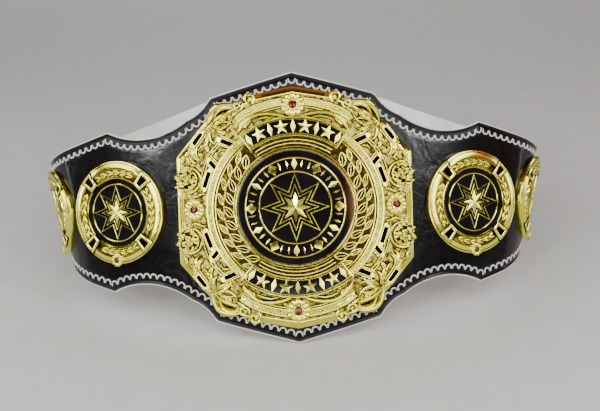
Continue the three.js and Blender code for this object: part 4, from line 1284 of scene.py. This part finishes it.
# How far that border stays inside the panel: millimetres at the sides, degrees at the ends
BORDER_IN, BORDER_SHORT = 2.7, 2.0
for name, (middle, inner, outer, half, upright) in BANNERS.items():
    slab = sector(name + "_enamel", [
        (inner + 1.6, 6.8), (outer - 1.6, 6.8), (outer - 1.6, 7.25), (outer - 1.9, 7.4),
        (inner + 1.9, 7.4), (inner + 1.6, 7.25),
    ], middle, half - 1.3)
    finish_piece(slab, enamel, "enamel", [name], crease=8)
    reach = (outer - inner) / 2 - 2.9
    star = figure("star", star_corners(5, reach * 1.1, reach * 0.44), FIGURE_FOOT, 0.5, 0.5)
    lozenge = figure("lozenge", [(0, reach), (-2.5, 0), (0, -reach), (2.5, 0)], FIGURE_FOOT,
                     0.5, 0.5)
    step = (half - 4) / 4
    row = [set_down(star if i % 2 else lozenge, f"{name}_{i + 4}", (inner + outer) / 2,
                    middle - i * step, upright) for i in range(-4, 5)]
    sides = (inner + BORDER_IN, outer - BORDER_IN)
    span = half - BORDER_SHORT
    thin = [[(*on_circle(r, middle, span * i / 18), BORDER_HEIGHT, 0.42)
             for i in range(-18, 19)] for r in sides]
    thin += [[(*on_circle(r, middle, end * span), BORDER_HEIGHT, 0.42) for r in sides]
             for end in (-1, 1)]
    row.append(strokes("thin_border", thin, "round"))
    for source in (star, lozenge):
        bpy.data.objects.remove(source)
    figures = joined(name + "_figures", [clean(piece) for piece in row])
    finish_piece(figures, gilt, "gold", [name + "_row"], crease=20)

# %% Discs with a compass star


def compass(name, radius, low, marks):
    """Line work of a disc: circles, small lozenges between them, and a star of eight points"""
    inner = radius * (0.64 if marks else 0.86)
    thin = 0.75 if marks else 0.6
    circles = [inner, radius * 0.88] if marks else [inner]
    pieces = []
    for r in circles:
        pieces.append(turned("circle", [(r, low), (r, low + 0.5), (r - thin, low + 0.9),
                                        (r - 2 * thin, low + 0.5), (r - 2 * thin, low)], 96))
    # Every sixth mark is broad, every third one tall, and those between are small
    kinds = []
    for tall, broad in ((0.105, 0.85), (0.105, 0.5), (0.07, 0.3)) if marks else ():
        half, wide = radius * tall, radius * tall * broad
        kinds.append(figure("mark", [(0, half), (-wide, 0), (0, -half), (wide, 0)], low, 0.4, 0.6))
    for i in range(3 * marks):
        kind = kinds[0 if i % 6 == 0 else 1 if i % 3 == 0 else 2]
        pieces.append(set_down(kind, "mark_set", radius * 0.76, i * 120 / marks))
    for kind in kinds:
        bpy.data.objects.remove(kind)
    lines = []
    for scale, width in ((0.95, 1.25), (0.66, 0.95)) if marks else ((0.95, 0.9), (0.62, 0.75)):
        corners = star_corners(8, (inner - 2 * thin) * scale, inner * 0.47 * scale)
        lines.append([(x, y, low + 0.25, width) for x, y in corners])
    pieces.append(strokes("star_lines", lines, "round", closed=True))
    pieces.append(figure("heart_star", star_corners(8, inner * 0.42, inner * 0.19), low, 0.35,
                         0.03 * radius + 0.3))
    return joined(name, [clean(piece) for piece in pieces])


MARKS = 12
print("marks on the large disc:", 3 * MARKS)

# %% The large disc
disc = turned("centre_disc_enamel", [(56.8, 4.1), (57.2, 4.5), (57.2, 5.1), (56.95, 5.3),
                                     (56.6, 5.35), (55.8, 5.35)], 128, closed=False)
cut_strips(disc, 6.0)
finish_piece(disc, enamel, "enamel", ["centre_disc"], crease=8)
finish_piece(compass("centre_star_gilt", 57.2, 5.35, MARKS), gilt, "gold", ["centre_star"],
             crease=20)

# %% [markdown]
# ## The four round plates
# A round plate has a stout polished rim, a sunk bed with leaves, an inner rim and a black
# disc. Its rim slopes outward, so that some of it catches a lamp on every side, and two
# grooves part it; the grooves and the bed are painted dark, stain and painted shade. Four
# framed brackets cross the bed on the diagonals, each outlined by a dark foot of painted
# shade, and a small stone sits below. The plate is modelled once at the middle, then copied to
# its four places, smaller at the ends.

# %% Rim and bed of a round plate
OUTER = 53.5
# The wall, the first groove, the sloping rim, the second groove, the bed, and the inner rim
# with the floor under the disc
rim = turned("rim", [
    (OUTER, REST), (OUTER, 4.7), (53.2, 5.2), (52.6, 5.5), (52.0, 5.55), (51.7, 5.2),
    (51.3, 5.2), (51.0, 5.7), (49.0, 6.25), (46.9, 6.6), (46.6, 6.25), (46.2, 6.25),
    (45.9, 6.7), (45.2, 6.7), (44.9, 6.4), (44.8, 4.6), (38.0, 4.6), (37.7, 5.8),
    (37.2, 6.2), (36.1, 6.2), (35.6, 5.8), (35.6, 3.6), (0.5, 3.6),
], 120, closed=False)
radius, height = radius_and_height(rim)
low_bed = (radius > 37.9) & (radius < 44.85) & (height < 5)
grooves = ((radius > 46.1) & (radius < 46.7)) | ((radius > 51.25) & (radius < 51.75))
grooves &= (height < 6.3) & (height > 5)
# The grooves and the bed are painted dark: stain and painted shade
note(rim, "stain_and_shade_depth", np.select([low_bed, grooves], [0.82, 1.0], 0))
print("rim:", len(rim.data.polygons), "faces")

# %% Leaves in the bed
# The stem's radius, and the length of a leaf along it
BED_RADIUS = 41.4
BED_LEAF = 8.6
DIAGONALS = (45, 135, 225, 315)


def bed_leaf(turn, out, width):
    """A small solid leaf that starts at the stem and points along and away from it"""
    line = []
    for step in range(7):
        u = step / 6
        swell = math.sin(math.pi * (0.06 + 0.9 * u)) ** 0.8 * (1 - 0.25 * u)
        x, y = on_circle(BED_RADIUS + out * (0.15 + 0.85 * math.sin(u * 1.35)), turn,
                         math.degrees(BED_LEAF * u / BED_RADIUS))
        lift = 0.5 + 0.62 * width * swell + 0.5 * math.sin(math.pi * u)
        line.append((x, y, 4.4 + lift, max(width * swell, 0.25)))
    return line


bed_leaves = []
for base in DIAGONALS:
    for k in range(6):
        turn = base + 15.5 + k * 11.0
        bed_leaves += [bed_leaf(turn, 2.4, 1.35), bed_leaf(turn, -2.4, 1.3)]
    bed_leaves.append([(*on_circle(BED_RADIUS, base + 16 + i * 4.2), 4.8, 0.5) for i in range(15)])
round_parts = [rim, stained_and_shaded(strokes("bed_leaves", bed_leaves), 4.5, 1.1)]
print("bed leaves:", len(bed_leaves))

# %% Brackets across the bed
# The wall, the outer slope and top of the frame, and down to the dark panel in its middle
BRACKET = [(0, 4.9), (1.2, 0.6), (0.5, 0.05), (1.1, -0.5), (0.15, -1.1), (0.5, 0)]
# A foot a little wider than the bracket and a little lower draws its outline in painted shade
FOOT = [(0, 4.85)]
BRACKET_LOW = 2.0
# How high that panel lies, which is painted darker
PANEL_LEVEL = 5.95
for middle in DIAGONALS:
    for kind, grow, rise in (("bracket_foot", 0.9, FOOT), ("bracket", 0.0, BRACKET)):
        outer, inner = 7.9 + grow, 7.6 + 1.4 * grow
        corners = [on_circle(52.2 + grow * 0.6, middle, t) for t in (-outer, 0, outer)]
        corners += [on_circle(36.4 - grow * 0.6, middle, t) for t in (inner, -inner)]
        bracket = raised(outlined(kind, corners, BRACKET_LOW), rise)
        height = radius_and_height(bracket)[1]
        panel = np.abs(height - PANEL_LEVEL) < 0.02
        round_parts.append(note(bracket, "stain_and_shade_depth", np.where(panel, 0.78, 1.0 if grow else 0)))
print("parts of a round plate:", len(round_parts))

# %% One round plate with its disc, star and stone
STONE_DOWN = OUTER - 4.5
round_parts += flower(0, -STONE_DOWN, 6.6, 5.4, 8.8, 10)
round_plate = joined("round_plate", round_parts)
round_disc = turned("round_disc", [(35.0, 3.9), (35.2, 4.1), (35.2, 4.5), (34.9, 4.65),
                                   (34.2, 4.65)], 96, closed=False)
round_star = compass("round_star", 35.2, 4.65, 0)
round_gem = cut_stone("round_gem", 0, -STONE_DOWN, 2.5, 5.7)
print("round plate:", len(round_plate.data.polygons), "faces")

# %% Four copies
# Where along the strap each pair sits, and its size beside the modelled one
PAIRS = (("side", 189.3, 1.0), ("end", 296.3, 46 / OUTER))
SOURCES = ((round_plate, "plate", gilt, "gold", 32), (round_disc, "disc", enamel, "enamel", 8),
           (round_star, "star", gilt, "gold", 20), (round_gem, "gem", garnet, "stone", 5))
for kind, s, size in PAIRS:
    for end, hand in (("left", -1), ("right", 1)):
        for source, part, material, slot, crease in SOURCES:
            twin = copied(source, f"{kind}_{part}_{end}_fine")
            points = coordinates(twin)
            points[:, :2] *= size
            points[:, 0] += hand * s * MM
            set_coordinates(twin, points)
            if part in ("plate", "disc"):
                cut_strips(twin, 4.0)
            finish_piece(twin, material, slot, [f"{kind}_{part}_{end}"], crease=crease)
for source, *_ in SOURCES:
    bpy.data.objects.remove(source)

# %% [markdown]
# ## Posts and fasteners
# The hidden posts and the press fasteners on the tails stay the CAD nodes. They are turned
# brass, left plain, and only need their finish.

# %% Finish the CAD nodes that still show
for name, obj in frame["nodes"].items():
    if "post" in name or "snap" in name:
        obj.data.materials.clear()
        obj.data.materials.append(worn_brass)
        print(name, "keeps its CAD shape")

# %% [markdown]
# ## Floor, light and camera
# The floor is plain and pale. Gold shows what is around it, so soft lamps stand in a ring
# round the camera, a little way out from it, and the room between them stays dim: that gives
# bright faces with dark edges. The black enamel mirrors the gap in the middle and stays black.
# Two small lamps further out put a shine on the leather between the plates.

# %% Floor
FLOOR_SIZE = 14
drop_all()
bpy.ops.mesh.primitive_plane_add(size=FLOOR_SIZE, location=(0, 2, 0))
floor = named("studio_floor")
paper, tree, shader, _ = mottled("pale_matt_paper", 25, 3.0, "#b1afac", "#b7b5b2")
shader.inputs["Roughness"].default_value = 0.9
floor.data.materials.append(paper)
print("floor:", floor.dimensions.to_tuple(1))

# %% Places before the plate
PLATE = rolled([[0, 0, 0]])[0].round(5)
FACING = np.array([0, -math.cos(LEAN), math.sin(LEAN)])
UPWARD = np.array([0, math.sin(LEAN), math.cos(LEAN)])


def before_plate(across, up, distance):
    """A place seen from the plate at two angles, in degrees, from straight ahead"""
    a, b = math.radians(across), math.radians(up)
    return PLATE + distance * (FACING * math.cos(a) * math.cos(b) + UPWARD * math.sin(b)
                               + np.array([math.sin(a) * math.cos(b), 0, 0]))


def lamp(name, where, aim, size, power, colour="#ffffff"):
    """A rectangular soft lamp that looks at a place"""
    drop_all()
    bpy.ops.object.light_add(type="AREA", location=where)
    made = named(name)
    made.data.shape = "RECTANGLE"
    made.data.size, made.data.size_y = size
    made.data.energy = power
    made.data.color = linear(colour)[:3]
    away = np.array(where) - np.array(aim)
    flat = math.hypot(away[0], away[1])
    made.rotation_euler = (math.atan2(flat, away[2]), 0, math.atan2(away[0], -away[1]))
    return made


# %% Lamps
# Name, two angles and distance from the plate, size in metres, power in watts, and a colour
# where it isn't white
LAMPS = [
    ("left_front", (-30, 6, 1.5), (0.38, 1.0), 8.6),
    ("right_front", (30, 6, 1.5), (0.38, 1.0), 6.4),
    ("upper_front", (0, 27, 1.5), (1.3, 0.72), 12.5),
    ("lower_front", (0, -15, 1.5), (0.9, 0.34), 4.2),
    ("left_glint", (-51, 9.5, 1.3), (0.14, 0.16), 4.6),
    ("right_glint", (49, 10, 1.3), (0.14, 0.16), 4.8),
    ("left_high", (-62, 32, 1.5), (0.9, 0.8), 9.5),
    ("right_high", (51, 31, 1.5), (0.5, 0.7), 6.0),
    ("far_left", (-90, 8, 1.4), (0.35, 0.5), 3.4),
    ("far_right", (92, 8, 1.4), (0.35, 0.5), 2.2),
    # Dull warm cards, which gold picks up as amber in the wreath and brown on the slopes
    ("amber_card", (20.6, 0, 1.5), (0.06, 0.4), 0.4, "#ff9a4c"),
    ("brown_card", (0, 60, 1.3), (1.1, 0.3), 0.8, "#b5653a"),
    ("rust_card", (72, 15, 1.4), (0.22, 0.75), 0.8, "#b85a30"),
]
for name, where, *rest in LAMPS:
    lamp(name, before_plate(*where), PLATE, *rest)
# One lamp stands behind, for the lining
lamp("back_softbox", (0.1, 1.2, 1.4), (0, 0, 0.1), (1.8, 0.9), 16)
# Four narrow-beamed lamps light the floor round the stage, and don't reach the belt
AWAY = 4.9
for index, (x, y) in enumerate(((0, -AWAY), (AWAY, 0), (0, AWAY), (-AWAY, 0))):
    wash = lamp(f"floor_wash_{index}", (x, y, 3.0), (x, y, 0), (5.6, 5.6), 210)
    wash.data.spread = math.radians(60)
print("lamps:", len(bpy.data.lights))

# %% Room
# Warm and dim above, as under a brown ceiling, and grey towards the floor
world = bpy.data.worlds.new("dim_room")
world.use_nodes = True
tree = world.node_tree
toward = add(tree, "ShaderNodeTexCoord").outputs["Generated"]
upness = add(tree, "ShaderNodeSeparateXYZ", {"Vector": toward}).outputs["Z"]
room_tone = add(tree, "ShaderNodeValToRGB", {"Fac": upness})
ramp(room_tone, [(0.1, "#6b6763"), (0.55, "#57463c"), (0.9, "#4c392e")])
background = tree.nodes["Background"]
tree.links.new(room_tone.outputs["Color"], background.inputs["Color"])
background.inputs["Strength"].default_value = 0.6
bpy.context.scene.world = world
print("room:", world.name)

# %% [markdown]
# ## Camera
# It looks squarely at the plate from a metre away, 23 degrees downward, and is rolled a
# little, as the picture is. There a millimetre fills one pixel of the picture, which is 600
# wide. A small shift of the lens brings the plate off the middle, as in the picture.

# %% Camera
PICTURE_WIDTH, PIXELS_A_METRE = 600, 1000
ROLL = math.radians(1.77)
drop_all()
bpy.ops.object.camera_add(location=PLATE + FACING)
camera = named("camera")
camera.rotation_euler = (math.pi / 2 - LEAN, 0, 0)
camera.rotation_euler.rotate_axis("Z", -ROLL)
camera.data.angle = 2 * math.atan(PICTURE_WIDTH / 2 / PIXELS_A_METRE)
camera.data.shift_x = 4.5 / PICTURE_WIDTH
camera.data.shift_y = 1.8 / PICTURE_WIDTH
camera.data.clip_start = 0.01
bpy.context.scene.camera = camera
print("camera at", camera.location.to_tuple(3))
